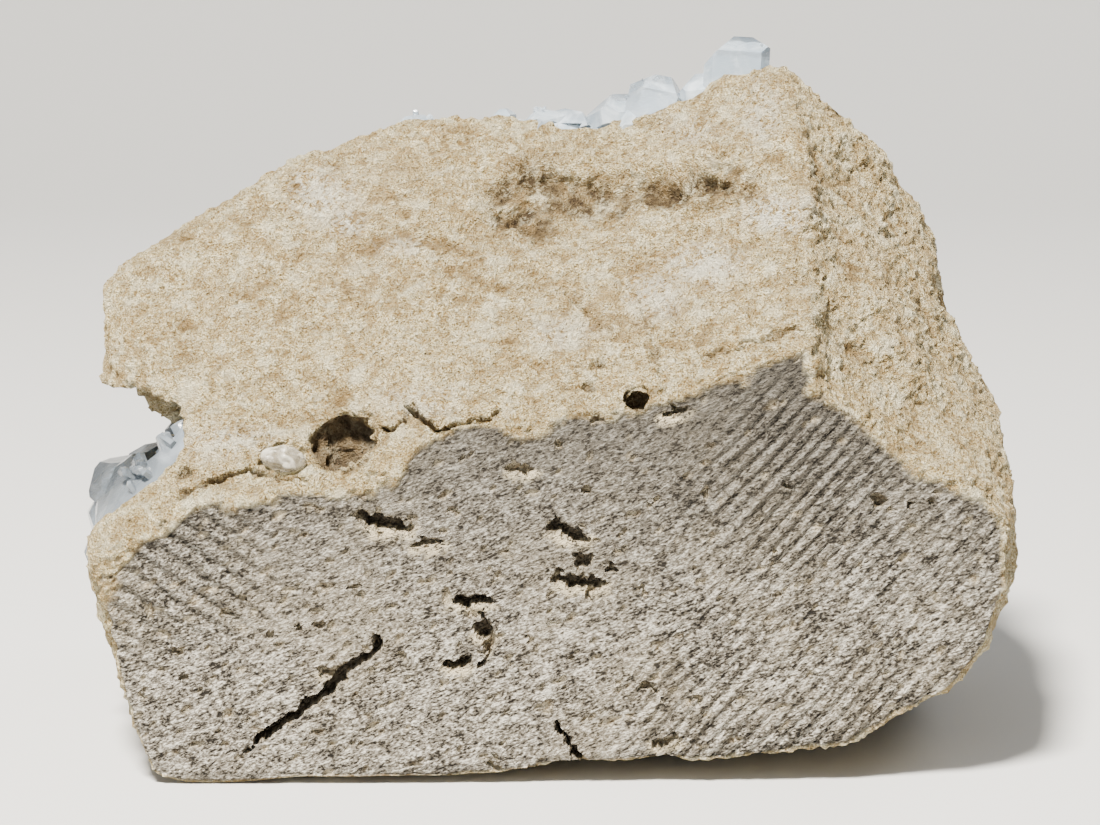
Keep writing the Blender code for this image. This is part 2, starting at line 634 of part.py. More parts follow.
def main():
    remove_everything()
    parts = new_collection("rough_celestite")
    cutters = new_collection("cutters", hidden=True)
    paint(build_stone(parts, cutters))
    paint(build_crust(parts, cutters))
    paint(add_object("lone_crystal", lone_mesh("lone_crystal", 0.0), parts))


main()
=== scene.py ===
"""Rough celestite: a piece of geode wall, sawn on one side, with pale blue crystals in its hollow."""
import math
import random
from collections import namedtuple

import bmesh
import bpy
import numpy as np
from mathutils import Matrix, Vector, noise
from mathutils.bvhtree import BVHTree


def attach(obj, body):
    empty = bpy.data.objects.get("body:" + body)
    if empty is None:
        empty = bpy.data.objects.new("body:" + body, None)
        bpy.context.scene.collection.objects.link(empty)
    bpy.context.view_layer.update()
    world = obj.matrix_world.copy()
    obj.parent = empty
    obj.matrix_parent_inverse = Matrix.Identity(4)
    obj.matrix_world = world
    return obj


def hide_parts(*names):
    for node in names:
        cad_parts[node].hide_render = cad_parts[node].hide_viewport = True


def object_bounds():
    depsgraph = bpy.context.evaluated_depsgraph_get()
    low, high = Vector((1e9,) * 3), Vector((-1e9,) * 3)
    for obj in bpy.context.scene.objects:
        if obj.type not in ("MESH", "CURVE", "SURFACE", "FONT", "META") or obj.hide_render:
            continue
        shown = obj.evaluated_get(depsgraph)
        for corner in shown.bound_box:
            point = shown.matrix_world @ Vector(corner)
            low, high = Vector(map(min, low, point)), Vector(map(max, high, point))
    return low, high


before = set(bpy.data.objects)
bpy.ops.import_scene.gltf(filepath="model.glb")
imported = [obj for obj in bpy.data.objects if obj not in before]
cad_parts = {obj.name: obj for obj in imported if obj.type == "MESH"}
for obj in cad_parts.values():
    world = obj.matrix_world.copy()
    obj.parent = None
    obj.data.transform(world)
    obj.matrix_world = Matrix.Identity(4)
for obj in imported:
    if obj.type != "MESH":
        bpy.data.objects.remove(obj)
CAD_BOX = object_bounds()
bpy.ops.object.select_all(action="DESELECT")

MM = 0.001
MERGED = 0.000002
FAR = 1e9
SEED = 5

# The picture's frame in pixels and the camera that sees the piece as the photograph does
FRAME_WIDTH, FRAME_HEIGHT = 1100, 825
LENS, SENSOR = 110.0, 36.0
ELEVATION = math.radians(12.0)
AIM = Vector((0.0, -0.045, 0.0631))
DISTANCE = 0.542
TO_CAMERA = Vector((0.0, -math.cos(ELEVATION), math.sin(ELEVATION)))
EYE = AIM + TO_CAMERA * DISTANCE

# Mesh of the stone: the size of its faces, how far a face must turn to the camera to be made finer, and
# how near a hole or crack, in pixels, and how far forward, it is made finer again
COARSE = 1.42 * MM
SHOWN_FACING, SHOWN_LIFT = 0.02, 0.4 * MM
NEAR_FEATURE, NEAR_FACING, NEAR_FRONT = 3.0, 0.2, 0.012
SAWN_Y = -0.045

# Outline of the sawn face: x and z in millimetres
SAWN_EDGE = [
    (-74.6, 37.2), (-71.2, 40.6), (-60.1, 46.1), (-51.1, 48.1), (-42.1, 49.9), (-34.4, 48.6),
    (-29.2, 49.9), (-24.3, 54.9), (-19.4, 59.1), (-11.3, 61.0), (-1.6, 61.0), (8.1, 63.2),
    (16.1, 65.5), (30.6, 69.8), (38.5, 73.4), (42.6, 74.2), (43.5, 67.1), (47.1, 64.3),
    (52.0, 60.2), (57.4, 54.9), (64.8, 51.9), (70.5, 48.6), (75.0, 43.9), (75.3, 34.3),
    (71.2, 25.0), (65.7, 16.5), (57.5, 12.4), (49.4, 6.6), (34.6, 5.6), (18.1, 4.1),
    (1.6, 3.5), (-19.8, 1.6), (-41.3, 1.1), (-55.3, 0.0), (-66.0, 1.8), (-70.1, 21.6),
]

# Holes in the sawn face, in pixels of the frame: middle, half sizes, turn in degrees, depth in mm
SAWN_HOLES = [
    (384, 523, 28, 8, -14, 4.0), (428, 544, 17, 3, 4, 2.5), (568, 531, 22, 6, -18, 3.5),
    (580, 583, 29, 5, -4, 3.5), (585, 561, 8, 7, 20, 3.0), (612, 571, 7, 4, 0, 2.5),
    (556, 577, 6, 8, 15, 2.5), (471, 601, 21, 6, 2, 4.0), (483, 632, 11, 8, -35, 3.5),
    (489, 648, 5, 9, -20, 2.5), (458, 665, 14, 6, 18, 3.5), (331, 672, 11, 4, -10, 2.0),
    (649, 686, 6, 5, 30, 2.0), (667, 743, 14, 4, 8, 2.5), (675, 412, 14, 3, 18, 2.5),
    (521, 470, 15, 4, -12, 2.0), (787, 486, 4, 4, 0, 2.0), (703, 493, 4, 3, 0, 1.6),
    (586, 490, 4, 3, 0, 1.6), (774, 554, 3, 3, 0, 1.6), (882, 504, 8, 5, 35, 2.6),
    (933, 502, 4, 3, 0, 1.6), (911, 505, 4, 3, 20, 1.6), (226, 616, 6, 4, -20, 2.0),
    (183, 677, 5, 4, 0, 1.8), (301, 630, 5, 4, 0, 2.0), (272, 632, 4, 3, 0, 1.6),
    (178, 652, 5, 3, 0, 1.8), (497, 768, 9, 5, -20, 2.0), (400, 655, 4, 3, 0, 1.4),
    (565, 690, 4, 3, 20, 1.4), (700, 700, 5, 3, 10, 1.4), (245, 600, 6, 3, -20, 1.6),
    (445, 430, 8, 3, 20, 1.6), (597, 420, 9, 4, 25, 1.8), (560, 445, 5, 4, 0, 1.6),
    (640, 590, 4, 3, 0, 1.3), (655, 500, 4, 3, 0, 1.3), (530, 640, 4, 3, 0, 1.3),
    (355, 590, 5, 3, -15, 1.4), (320, 625, 6, 3, -20, 1.6), (150, 610, 8, 3, -30, 1.6),
]
# Holes and breaks in the rind, in the same terms
RIND_HOLES = [
    (341, 444, 31, 25, 5, 4.2), (637, 399, 9, 8, 0, 4.0), (415, 409, 9, 5, -40, 3.0),
    (118, 404, 14, 6, -25, 2.5), (590, 385, 9, 6, 10, 2.0), (655, 352, 5, 8, 20, 1.6),
    (575, 295, 8, 7, 0, 1.2), (180, 470, 9, 7, 0, 2.0), (600, 362, 9, 5, 10, 1.6),
]
# Cracks as points with a half width, in pixels, then the depth in mm
CRACKS = [
    ([(379, 640, 3), (373, 653, 6), (352, 669, 5), (328, 693, 6), (301, 712, 5), (269, 731, 4),
      (245, 752, 2)], 4.5),
    ([(557, 725, 2), (566, 740, 4), (577, 752, 5), (584, 765, 7)], 4.0),
    ([(352, 669, 3), (335, 672, 4), (322, 676, 2)], 2.5),
    ([(480, 612, 2), (489, 628, 4), (494, 650, 3), (480, 668, 3)], 2.6),
    ([(662, 700, 1), (650, 684, 3), (640, 692, 2)], 1.8),
    ([(584, 575, 2), (588, 590, 3), (590, 602, 1)], 2.2),
]
RIND_CRACKS = [
    ([(377, 425, 3), (390, 429, 3), (402, 420, 2), (408, 404, 3), (423, 416, 4), (436, 430, 3),
      (448, 428, 2), (459, 420, 2), (476, 421, 2), (499, 408, 1)], 2.4),
    ([(178, 497, 3), (215, 477, 3), (250, 470, 2), (285, 478, 2), (312, 480, 1)], 1.6),
    ([(636, 300, 1), (643, 325, 2), (650, 350, 3), (660, 372, 2)], 0.8),
    ([(700, 352, 2), (735, 346, 2), (775, 331, 3), (806, 330, 1)], 0.9),
    ([(560, 290, 1), (585, 310, 2), (610, 330, 1)], 0.9),
    ([(108, 392, 2), (124, 402, 4), (130, 420, 4), (128, 440, 3)], 2.4),
]
# Ridges and furrows of the rind: points, half width in pixels, height in mm
BANDS = [
    ([(488, 178), (530, 190), (570, 200), (610, 200), (650, 195), (700, 187), (738, 184)], 13, -1.2),
    ([(478, 152), (540, 160), (610, 172), (680, 168), (740, 158)], 12, 2.4),
    ([(640, 222), (661, 213), (715, 205), (755, 207), (799, 202)], 14, 1.2),
    ([(470, 225), (520, 235), (570, 232)], 12, -0.8),
    ([(767, 215), (790, 240), (808, 270)], 16, -1.1),
    ([(640, 340), (630, 290), (652, 255), (690, 230)], 7, -0.8),
    ([(796, 110), (806, 180), (815, 250), (822, 300), (818, 345), (818, 385)], 11, 1.1),
    ([(770, 100), (782, 170), (790, 215)], 12, -0.6),
    ([(560, 275), (600, 262), (640, 240)], 16, 0.7),
    ([(240, 235), (290, 200), (340, 190)], 30, 0.5),
    ([(880, 250), (900, 330), (930, 400)], 22, 0.6),
    ([(860, 300), (880, 370), (915, 430)], 16, -0.6),
]
# Pale patches, partly the rind's own whitish colour and partly painted light on lit ledges: middle, half
# sizes in pixels, strength
PALE_AND_LIT_PATCHES = [
    (320, 195, 38, 32, 0.8), (345, 222, 24, 16, 0.9), (302, 182, 12, 16, 0.9), (775, 212, 40, 18, 1.0),
    (700, 262, 48, 26, 0.8), (655, 290, 34, 30, 0.7), (400, 245, 30, 12, 0.5), (560, 330, 40, 18, 0.5),
    (760, 110, 24, 40, 0.6), (230, 440, 60, 22, 0.6), (420, 400, 50, 18, 0.5), (690, 130, 34, 18, 0.5),
]
# Round areas: middle in pixels, how much height counts, and the radii where they begin and are full
RUGGED_AREAS = [(530, 200, 1.25, 60.0, 25.0), (341, 444, 1.0, 34.0, 16.0)]
RUGGED_LINE, RUGGED_LINE_FADE = [(560, 200), (650, 198), (740, 186)], (26.0, 8.0)
LEFT_BREAK = (130, 545, 0.8, 72.0, 30.0)

# Noise on the stone: size in mm and seed, then for most how many octaves and how it is stretched
RAGGED_WIDE, RAGGED_CLOSE = (9.0, 3.1), (3.0, 8.4)
BLOCKS = (15.0, 1.7, 2)
LUMPS = (6.0, 5.2, 3, (0.75, 0.75, 1.15))
TORN = (5.0, 21.0, 3, (0.6, 0.6, 1.3))
ROUGH = (1.5, 13.0, 3)
CLUMPS = (3.4, 31.0, 3)
CRACKED = (1.7, 36.0, 2)
CRUST_EDGE = (2.0, 55.0, 2)
DRIFT = (22.0, 41.0, 2)
MARKS_FADE = (26.0, 51.0, 2)
STEP_WOBBLE = (8.0, 45.0, 2)
SKIN_CLOSE, SKIN_WIDE = (1.6, 61.0, 2), (9.0, 71.0, 2)
SMALL_PITS = (1.5, 66.0, 2)
WARP_U, WARP_V = (2.2, 81.0, 3), (2.2, 91.0, 3)
FRAY_U, FRAY_V = (1.1, 85.0, 2), (1.1, 95.0, 2)
NARROW = (2.6, 99.0, 2)
# Packed grains on it: size in mm, seed and stretch, then how steep and how high all of them are
CRUMBS = (2.4, 9.6, (0.75, 0.75, 1.2))
GRIT = (1.25, 3.3)
GRAIN_STEEP, GRAIN_TOP = 2.6, 0.7

# Where parts of the stone begin and are full. In mm, but for facing, which is a share
FRONT_FACING, FRONT_END = (0.0, 0.25), (10.0, 22.0)
LOW_EDGE = (38.0, 22.0)
HOLE_DEPTH, HOLE_EDGE, HOLE_END = (0.8, 1.7), (1.5, 3.0), (12.0, 9.0)
HOLE_DEEP = (2.0, 4.5)
SAWN_FADE, SAWN_START, BREAK_WIDTH = (-0.3, 0.7), 0.6, 2.5
FLAT, FLAT_LOW = (0.3, 0.9), (1.5, 2.9)
SQUARE, SQUARE_LOW = (0.90, 0.98), (0.45, 0.68)
SAWN_BACK, SAWN_RIM = (6.5, 5.0), (-1.0, 0.5)
CRUST_FREE, CRUST_NEAR = (0.6, 3.2), (1.5, 0.6)
FOOT = (0.6, 4.0)

# Heights in mm: of the ragged edge of the sawn face, then of the rind's layers, and so on
RAGGED_HEIGHTS, RAGGED_CALM, RAGGED_LOW = (2.2, 1.4), 0.8, 3.0
RIND_HEIGHTS = (0.60, 0.65, 0.36, 0.26, -1.0, 0.30)
TORN_POWER = 1.3
RUGGED_HEIGHTS, RUGGED_SINK = (1.5, 0.7), 0.1
HOLE_WALL_HEIGHTS = (0.8, 0.4)
CRUST_EDGE_HEIGHT, CRUST_EDGE_ROUGH = 0.55, 0.35
SKIN_HEIGHTS = (0.16, 0.20)
BAND_WOBBLE = 0.5
# Limits of the rugged areas' crevices, which get painted shade with dark brown dirt, then the share of the
# cracked ones
CLUMP_CAVITY, CRACKED_CAVITY, CRACKED_SHARE = (0.12, -0.28), (-0.10, -0.35), 0.8
RELIEF_MIDDLE, RELIEF_GAIN = 0.57, 0.28
RELIEF_SHARES = (0.7, 0.5, 0.5, -1.3, 0.5)

# Saw marks: where they lie in the frame, their angle in degrees, spacing in pixels, power and depth in mm
RIGHT_U, RIGHT_V = (560, 700), (330, 380)
RIGHT_ANGLE, RIGHT_SPACING, RIGHT_POWER, RIGHT_DEPTH = 47, 12.5, 1.6, 0.62
LEFT_U, LEFT_V = (330, 200), (700, 600)
LEFT_ANGLE, LEFT_SPACING, LEFT_POWER, LEFT_DEPTH = -33, 17.0, 1.5, 0.9
LEFT_SHIFT, LEFT_WOBBLE = 1.0, 0.8
DRIFT_PIXELS = 5.0
MARKS_LEAST, MARKS_FADE_RANGE = 0.35, (-0.35, 0.35)
MARKS_FULL = 0.6

# Holes, small pits and cracks
PIT_LIMITS, PIT_DENSE, PIT_DEPTH = (0.46, 0.66), 0.10, 1.1
DENSE_U, DENSE_V = (760, 420), (470, 520)
GRAIN_LIE, GRAIN_STRETCH, GRAIN_PIXELS = 20, 0.5, 6.2
SWAY_LUMPS, SWAY_BLOCKS, SWAY_UP = 10.0, 8.0, 8.0
WARP_PIXELS, FRAY_PIXELS = 5.0, 3.5
NARROW_MIDDLE, NARROW_CHANGE = 0.75, 0.45
SAWN_HOLE_FADE, RIND_HOLE_FADE, RIND_HOLE_SHARE = (1.15, 0.75), (1.2, 0.7), 0.6
CRACK_FADE, RIND_CRACK_FADE = (1.0, -1.2), (1.0, -1.0)
# The lower lips of the larger holes get a painted highlight; these set which holes have one and how far it
# reaches
LIP_SMALLEST, LIP_WIDTH, LIP_BELOW, LIP_FADE = 10, 10, (-2.0, 7.0), (1.05, 0.65)
PIT_FADE, DEEP_FADE, RIND_PIT_FADE = (0.4, 1.2), (1.8, 3.6), (0.3, 1.2)
CARVED_FROM = 0.05
PALE_FADE = (1.3, 0.2)
# Rows of the frame, in pixels, over which the painted shade on the top of the sawn face fades out downwards
SHADE_V = (330, 700)

# The wall left behind an inward push, in mm: the start and reach of the search, and the part it may take
WALL_START, WALL_REACH, WALL_PART, WALL_KEPT, WALL_FREE = 0.2, 10.0, 0.5, 0.5, 9.0


def smooth(low, high, value):
    """0 up to low, 1 from high on and a smooth rise between. It falls where low is above high."""
    t = np.clip((value - low) / (high - low), 0.0, 1.0)
    return t * t * (3.0 - 2.0 * t)


def blend(values, shares):
    """The sum of values, each times its share."""
    total = values[0] * shares[0]
    for value, share in zip(values[1:], shares[1:]):
        total = total + value * share
    return total


def seen(points):
    """Where points are in the picture's frame, in pixels."""
    away = -np.array(TO_CAMERA)
    right = np.array((1.0, 0.0, 0.0))
    up = np.cross(right, away)
    d = points - np.array(EYE)
    depth = d @ away
    focal = LENS / SENSOR * FRAME_WIDTH
    return np.stack([FRAME_WIDTH / 2 + focal * (d @ right) / depth,
                     FRAME_HEIGHT / 2 - focal * (d @ up) / depth], axis=1)


def wave(points, size, seed=0.0, octaves=3, stretch=(1.0, 1.0, 1.0)):
    """Fractal noise of about -1 to 1 whose lumps are size millimetres across."""
    at = points / (size * MM) * np.array(stretch) + seed
    return np.array([noise.fractal(p, 1.0, 2.0, octaves) for p in at.tolist()])


def grains(points, size, seed=0.0, stretch=(1.0, 1.0, 1.0)):
    """Packed grains size millimetres across: about 0.7 on their tops and -1 in the joints between them."""
    at = points / (size * MM) * np.array(stretch) + seed
    near = np.array([noise.voronoi(p)[0][:2] for p in at.tolist()])
    return np.clip((near[:, 1] - near[:, 0]) * GRAIN_STEEP - 1.0, -1.0, GRAIN_TOP)


def line_gap(spots, line):
    """Distance of spots from a polyline, and the polyline's half width there."""
    best = np.full(len(spots), FAR)
    width = np.zeros(len(spots))
    for a, b in zip(line, line[1:]):
        a, b = np.array(a, float), np.array(b, float)
        run = b[:2] - a[:2]
        t = np.clip(((spots - a[:2]) @ run) / (run @ run), 0.0, 1.0)
        gap = np.linalg.norm(spots - a[:2] - t[:, None] * run, axis=1)
        closer = gap < best
        best = np.where(closer, gap, best)
        if len(a) > 2:
            width = np.where(closer, a[2] + (b[2] - a[2]) * t, width)
    return best, width


def inside_outline(points, outline):
    """Signed distance in from a closed outline in x and z: above 0 inside it."""
    spots = points[:, [0, 2]] / MM
    ring = outline + outline[:1]
    gap, _ = line_gap(spots, ring)
    turns = np.zeros(len(spots), bool)
    for (x0, z0), (x1, z1) in zip(ring, ring[1:]):
        spans = (z0 > spots[:, 1]) != (z1 > spots[:, 1])
        across = x0 + (spots[:, 1] - z0) * (x1 - x0) / (z1 - z0 if z1 != z0 else 1e-9)
        turns ^= spans & (spots[:, 0] < across)
    return np.where(turns, gap, -gap)


def oval_share(spots, row):
    """1 on the rim of an oval, less inside, more outside."""
    u, v, half_u, half_v, turn = row[:5]
    a = math.radians(turn)
    d = spots - np.array((u, v))
    across = d[:, 0] * math.cos(a) - d[:, 1] * math.sin(a)
    along = d[:, 0] * math.sin(a) + d[:, 1] * math.cos(a)
    return np.sqrt((across / half_u) ** 2 + (along / half_v) ** 2)


def round_area(spots, row):
    """1 in the middle of a round area, 0 outside it."""
    u, v, tall, begins, full = row
    return smooth(begins, full, np.hypot(spots[:, 0] - u, (spots[:, 1] - v) * tall))


def furrows(spots, drift, angle, spacing, shift=0.0):
    """Even furrows across the frame: 0 between them and 1 in them."""
    a = math.radians(angle)
    across = spots[:, 0] * math.sin(a) + spots[:, 1] * math.cos(a) + drift
    return 0.5 + 0.5 * np.sin(across * 2 * math.pi / spacing + shift)


def spread(spots):
    """Frame pixels as points on the sawn face, drawn out along the lie of its grain."""
    a = math.radians(GRAIN_LIE)
    along = spots[:, 0] * math.cos(a) - spots[:, 1] * math.sin(a)
    across = spots[:, 0] * math.sin(a) + spots[:, 1] * math.cos(a)
    return np.stack([along * GRAIN_STRETCH, across, np.zeros(len(spots))], axis=1) / GRAIN_PIXELS * MM


def activate(thing):
    bpy.ops.object.select_all(action="DESELECT")
    thing.select_set(True)
    bpy.context.view_layer.objects.active = thing


def new_piece(name, mesh):
    made = bpy.data.objects.new(name, mesh)
    bpy.context.scene.collection.objects.link(made)
    activate(made)
    return made


def copy_of_node(node, name):
    """A piece with the merged mesh of a CAD node."""
    made = new_piece(name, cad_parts[node].data.copy())
    made.data.name = name
    made.data.materials.clear()
    bpy.ops.object.mode_set(mode="EDIT")
    bpy.ops.mesh.select_all(action="SELECT")
    bpy.ops.mesh.remove_doubles(threshold=MERGED)
    bpy.ops.object.mode_set(mode="OBJECT")
    return made


def apply_modifier(thing, kind, **settings):
    activate(thing)
    made = thing.modifiers.new(kind.lower(), kind)
    for key, value in settings.items():
        setattr(made, key, value)
    bpy.ops.object.modifier_apply(modifier=made.name)


def tree_of(mesh):
    made = bmesh.new()
    made.from_mesh(mesh)
    tree = BVHTree.FromBMesh(made)
    made.free()
    return tree


def read_triples(items, what):
    values = np.zeros(len(items) * 3, np.float32)
    items.foreach_get(what, values)
    return values.reshape(-1, 3).astype(float)


def corners(mesh):
    return read_triples(mesh.vertices, "co")


def normals(mesh):
    return read_triples(mesh.vertex_normals, "vector")


def put_corners(mesh, co):
    mesh.vertices.foreach_set("co", co.astype(np.float32).ravel())
    mesh.update()


def store(mesh, name, values):
    layer = mesh.attributes.new(name, "FLOAT", "POINT")
    layer.data.foreach_set("value", np.asarray(values, np.float32))


def gaps_to(tree, co):
    """Distance in millimetres from each point to a surface."""
    return np.array([tree.find_nearest(Vector(p))[3] for p in co.tolist()]) / MM


def subdivide(thing, chosen):
    """Cuts the chosen faces in four."""
    activate(thing)
    bpy.ops.object.mode_set(mode="EDIT")
    bpy.ops.mesh.select_all(action="DESELECT")
    bpy.ops.mesh.select_mode(type="FACE")
    bpy.ops.object.mode_set(mode="OBJECT")
    thing.data.polygons.foreach_set("select", chosen)
    bpy.ops.object.mode_set(mode="EDIT")
    bpy.ops.mesh.subdivide(number_cuts=1)
    bpy.ops.object.mode_set(mode="OBJECT")


def feature_gap(spots):
    """How far, in pixels, each spot is from the nearest hole or crack."""
    gap = np.full(len(spots), FAR)
    for row in SAWN_HOLES + RIND_HOLES:
        share = oval_share(spots, row)
        gap = np.minimum(gap, (share - 1.0) * min(row[2], row[3]))
    for line, _ in CRACKS + RIND_CRACKS:
        away, width = line_gap(spots, line)
        gap = np.minimum(gap, away - width)
    return gap


def make_stone():
    """The stone: even small faces, finer where the camera sees them, then the fine relief."""
    stone = copy_of_node("matrix_stone", "stone")
    apply_modifier(stone, "REMESH", mode="VOXEL", voxel_size=COARSE)
    tree = tree_of(stone.data)

    middles = read_triples(stone.data.polygons, "center")
    facing = read_triples(stone.data.polygons, "normal")
    shown = np.zeros(len(middles), bool)
    toward = np.array(EYE) - middles
    toward /= np.linalg.norm(toward, axis=1)[:, None]
    for i in np.nonzero((facing * toward).sum(1) > SHOWN_FACING)[0]:
        start = Vector(middles[i] + facing[i] * SHOWN_LIFT)
        shown[i] = tree.ray_cast(start, Vector(toward[i]))[0] is None
    subdivide(stone, shown)

    middles = read_triples(stone.data.polygons, "center")
    facing = read_triples(stone.data.polygons, "normal")
    near = feature_gap(seen(middles)) < NEAR_FEATURE
    near &= ((facing @ np.array(TO_CAMERA)) > NEAR_FACING) & (middles[:, 1] < NEAR_FRONT)
    subdivide(stone, near)
    shape_stone(stone)
    return stone


def shape_stone(stone):
    """Pushes the stone's points along their normals and keeps what its material needs to know."""
    mesh = stone.data
    co = corners(mesh)
    out = normals(mesh)
    spots = seen(co)
    behind = (co[:, 1] - SAWN_Y) / MM
    edge_in = inside_outline(co, SAWN_EDGE)
    front = smooth(*FRONT_FACING, out @ np.array(TO_CAMERA)) * (1.0 - smooth(*FRONT_END, co[:, 1] / MM))
    in_hole = smooth(*HOLE_DEPTH, behind) * smooth(*HOLE_EDGE, edge_in) * smooth(*HOLE_END, behind)
    sawn = sawn_share(co, out, spots, behind, edge_in)

    # How freely the relief may grow: nothing under the crystals and little on the flat foot
    near_crust = gaps_to(tree_of(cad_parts["celestite_crust"].data), co)
    free = smooth(*CRUST_FREE, near_crust)
    foot = 1.0 - smooth(*FOOT, co[:, 2] / MM)

    # The rind: blocks, lumps, crumbs, then rugged areas and bands
    blocks, lumps = wave(co, *BLOCKS), wave(co, *LUMPS)
    crumbs, grit = grains(co, *CRUMBS), grains(co, *GRIT)
    torn = np.maximum(0.0, wave(co, *TORN)) ** TORN_POWER
    rind = blend((blocks, lumps, crumbs, grit, torn, wave(co, *ROUGH)), RIND_HEIGHTS)
    rugged = smooth(*RUGGED_LINE_FADE, line_gap(spots, RUGGED_LINE)[0])
    for row in RUGGED_AREAS:
        rugged = np.maximum(rugged, round_area(spots, row))
    rugged *= front
    clumps, cracked = wave(co, *CLUMPS), wave(co, *CRACKED)
    rind += rugged * (blend((clumps, cracked), RUGGED_HEIGHTS) - RUGGED_SINK)
    crevice_shade_and_dirt = np.maximum(smooth(*CLUMP_CAVITY, clumps), CRACKED_SHARE * smooth(*CRACKED_CAVITY, cracked))
    swayed = spots + np.stack([SWAY_LUMPS * lumps + SWAY_BLOCKS * blocks, SWAY_UP * lumps], axis=1)
    for line, half, height in BANDS:
        away, _ = line_gap(swayed, line)
        rind += front * height * np.exp(-(away / half) ** 2) * (1.0 + BAND_WOBBLE * lumps)
    push = rind * (1.0 - sawn) * free * (1.0 - foot)
    push += in_hole * blend((cracked, grit), HOLE_WALL_HEIGHTS) * free
    edge_rough = CRUST_EDGE_HEIGHT + CRUST_EDGE_ROUGH * wave(co, *CRUST_EDGE)
    push += smooth(*CRUST_NEAR, near_crust) * edge_rough

    # The sawn face: saw marks and a rough skin, always inwards
    right_part, marks = saw_marks(co, spots)
    skin = blend((1.0 + wave(co, *SKIN_CLOSE), 1.0 + wave(co, *SKIN_WIDE)), SKIN_HEIGHTS)
    push -= sawn * (marks + skin)

    # Holes and cracks, bent so that no outline is even
    bent = spots + np.stack([wave(co, *WARP_U), wave(co, *WARP_V)], axis=1) * WARP_PIXELS
    frayed = bent + np.stack([wave(co, *FRAY_U), wave(co, *FRAY_V)], axis=1) * FRAY_PIXELS
    narrow = NARROW_MIDDLE + NARROW_CHANGE * wave(co, *NARROW)
    depth, lit_lip = sawn_depth(spots, bent, frayed, narrow)
    depth *= sawn_side(co, edge_in)
    rind_depth = depth_of_rind(bent, narrow) * front * free
    push -= rind_depth
    pit = np.maximum(in_hole, smooth(*PIT_FADE, depth))
    # Where painted shade goes, deep in the holes and cracks
    deep = np.maximum(smooth(*HOLE_DEEP, behind) * in_hole, smooth(*DEEP_FADE, depth))

    push = np.maximum(push, -room_behind(mesh, co, out))
    co += out * (push * MM)[:, None]
    co[:, 1] = np.where(depth > CARVED_FROM, np.maximum(co[:, 1], SAWN_Y + depth * MM), co[:, 1])
    co = np.clip(co, np.array(CAD_BOX[0]), np.array(CAD_BOX[1]))
    put_corners(mesh, co)

    relief = blend((lumps, crumbs, grit, torn, wave(co, *ROUGH)), RELIEF_SHARES)
    pale = np.zeros(len(co))
    for u, v, half_u, half_v, much in PALE_AND_LIT_PATCHES:
        share = oval_share(bent, (u, v, half_u, half_v, 0))
        pale = np.maximum(pale, much * smooth(*PALE_FADE, share))
    kept = {
        "sawn": sawn, "pit": pit, "deep": deep, "cut": marks / MARKS_FULL, "right": right_part,
        "rind_pit": smooth(*RIND_PIT_FADE, rind_depth), "relief": RELIEF_MIDDLE + RELIEF_GAIN * relief,
        "pale": pale * front, "rugged": rugged, "crevice_shade_and_dirt": rugged * crevice_shade_and_dirt,
        "lit_lip": lit_lip * sawn_side(co, edge_in), "shade": smooth(*SHADE_V, spots[:, 1]),
    }
    for name, values in kept.items():
        store(mesh, name, np.clip(values, 0.0, 1.0))


def sawn_side(co, edge_in):
    """1 on what the saw cut, and just behind it."""
    return smooth(*SAWN_BACK, (co[:, 1] - SAWN_Y) / MM) * smooth(*SAWN_RIM, edge_in)


def sawn_share(co, out, spots, behind, edge_in):
    """1 on the flat that the saw left, 0 on the rind, with a ragged edge between them."""
    low_edge = smooth(*LOW_EDGE, co[:, 2] / MM)
    flat, flat_end, square, square_end = (
        upper + (low - upper) * low_edge for upper, low in zip(FLAT + SQUARE, FLAT_LOW + SQUARE_LOW))
    ragged = blend((wave(co, *RAGGED_WIDE), wave(co, *RAGGED_CLOSE)), RAGGED_HEIGHTS)
    ragged = ragged * (1.0 - RAGGED_CALM * low_edge) + RAGGED_LOW * low_edge
    ragged -= SAWN_START + BREAK_WIDTH * round_area(spots, LEFT_BREAK)
    share = (1.0 - smooth(flat, flat_end, behind)) * smooth(*SAWN_FADE, edge_in + ragged)
    return share * smooth(square, square_end, -out[:, 1])


def saw_marks(co, spots):
    """Which part of the sawn face is its right, and the depth of the saw marks in millimetres."""
    u, v = spots[:, 0], spots[:, 1]
    drift = wave(co, *DRIFT) * DRIFT_PIXELS
    right_part = smooth(*RIGHT_U, u) * smooth(*RIGHT_V, v)
    left_part = smooth(*LEFT_U, u) * smooth(*LEFT_V, v)
    fade = MARKS_LEAST + (1.0 - MARKS_LEAST) * smooth(*MARKS_FADE_RANGE, wave(co, *MARKS_FADE))
    ridges = furrows(spots, drift, RIGHT_ANGLE, RIGHT_SPACING)
    steps = furrows(spots, drift, LEFT_ANGLE, LEFT_SPACING, LEFT_SHIFT + LEFT_WOBBLE * wave(co, *STEP_WOBBLE))
    marks = right_part * fade * ridges ** RIGHT_POWER * RIGHT_DEPTH
    return right_part, marks + left_part * steps ** LEFT_POWER * LEFT_DEPTH


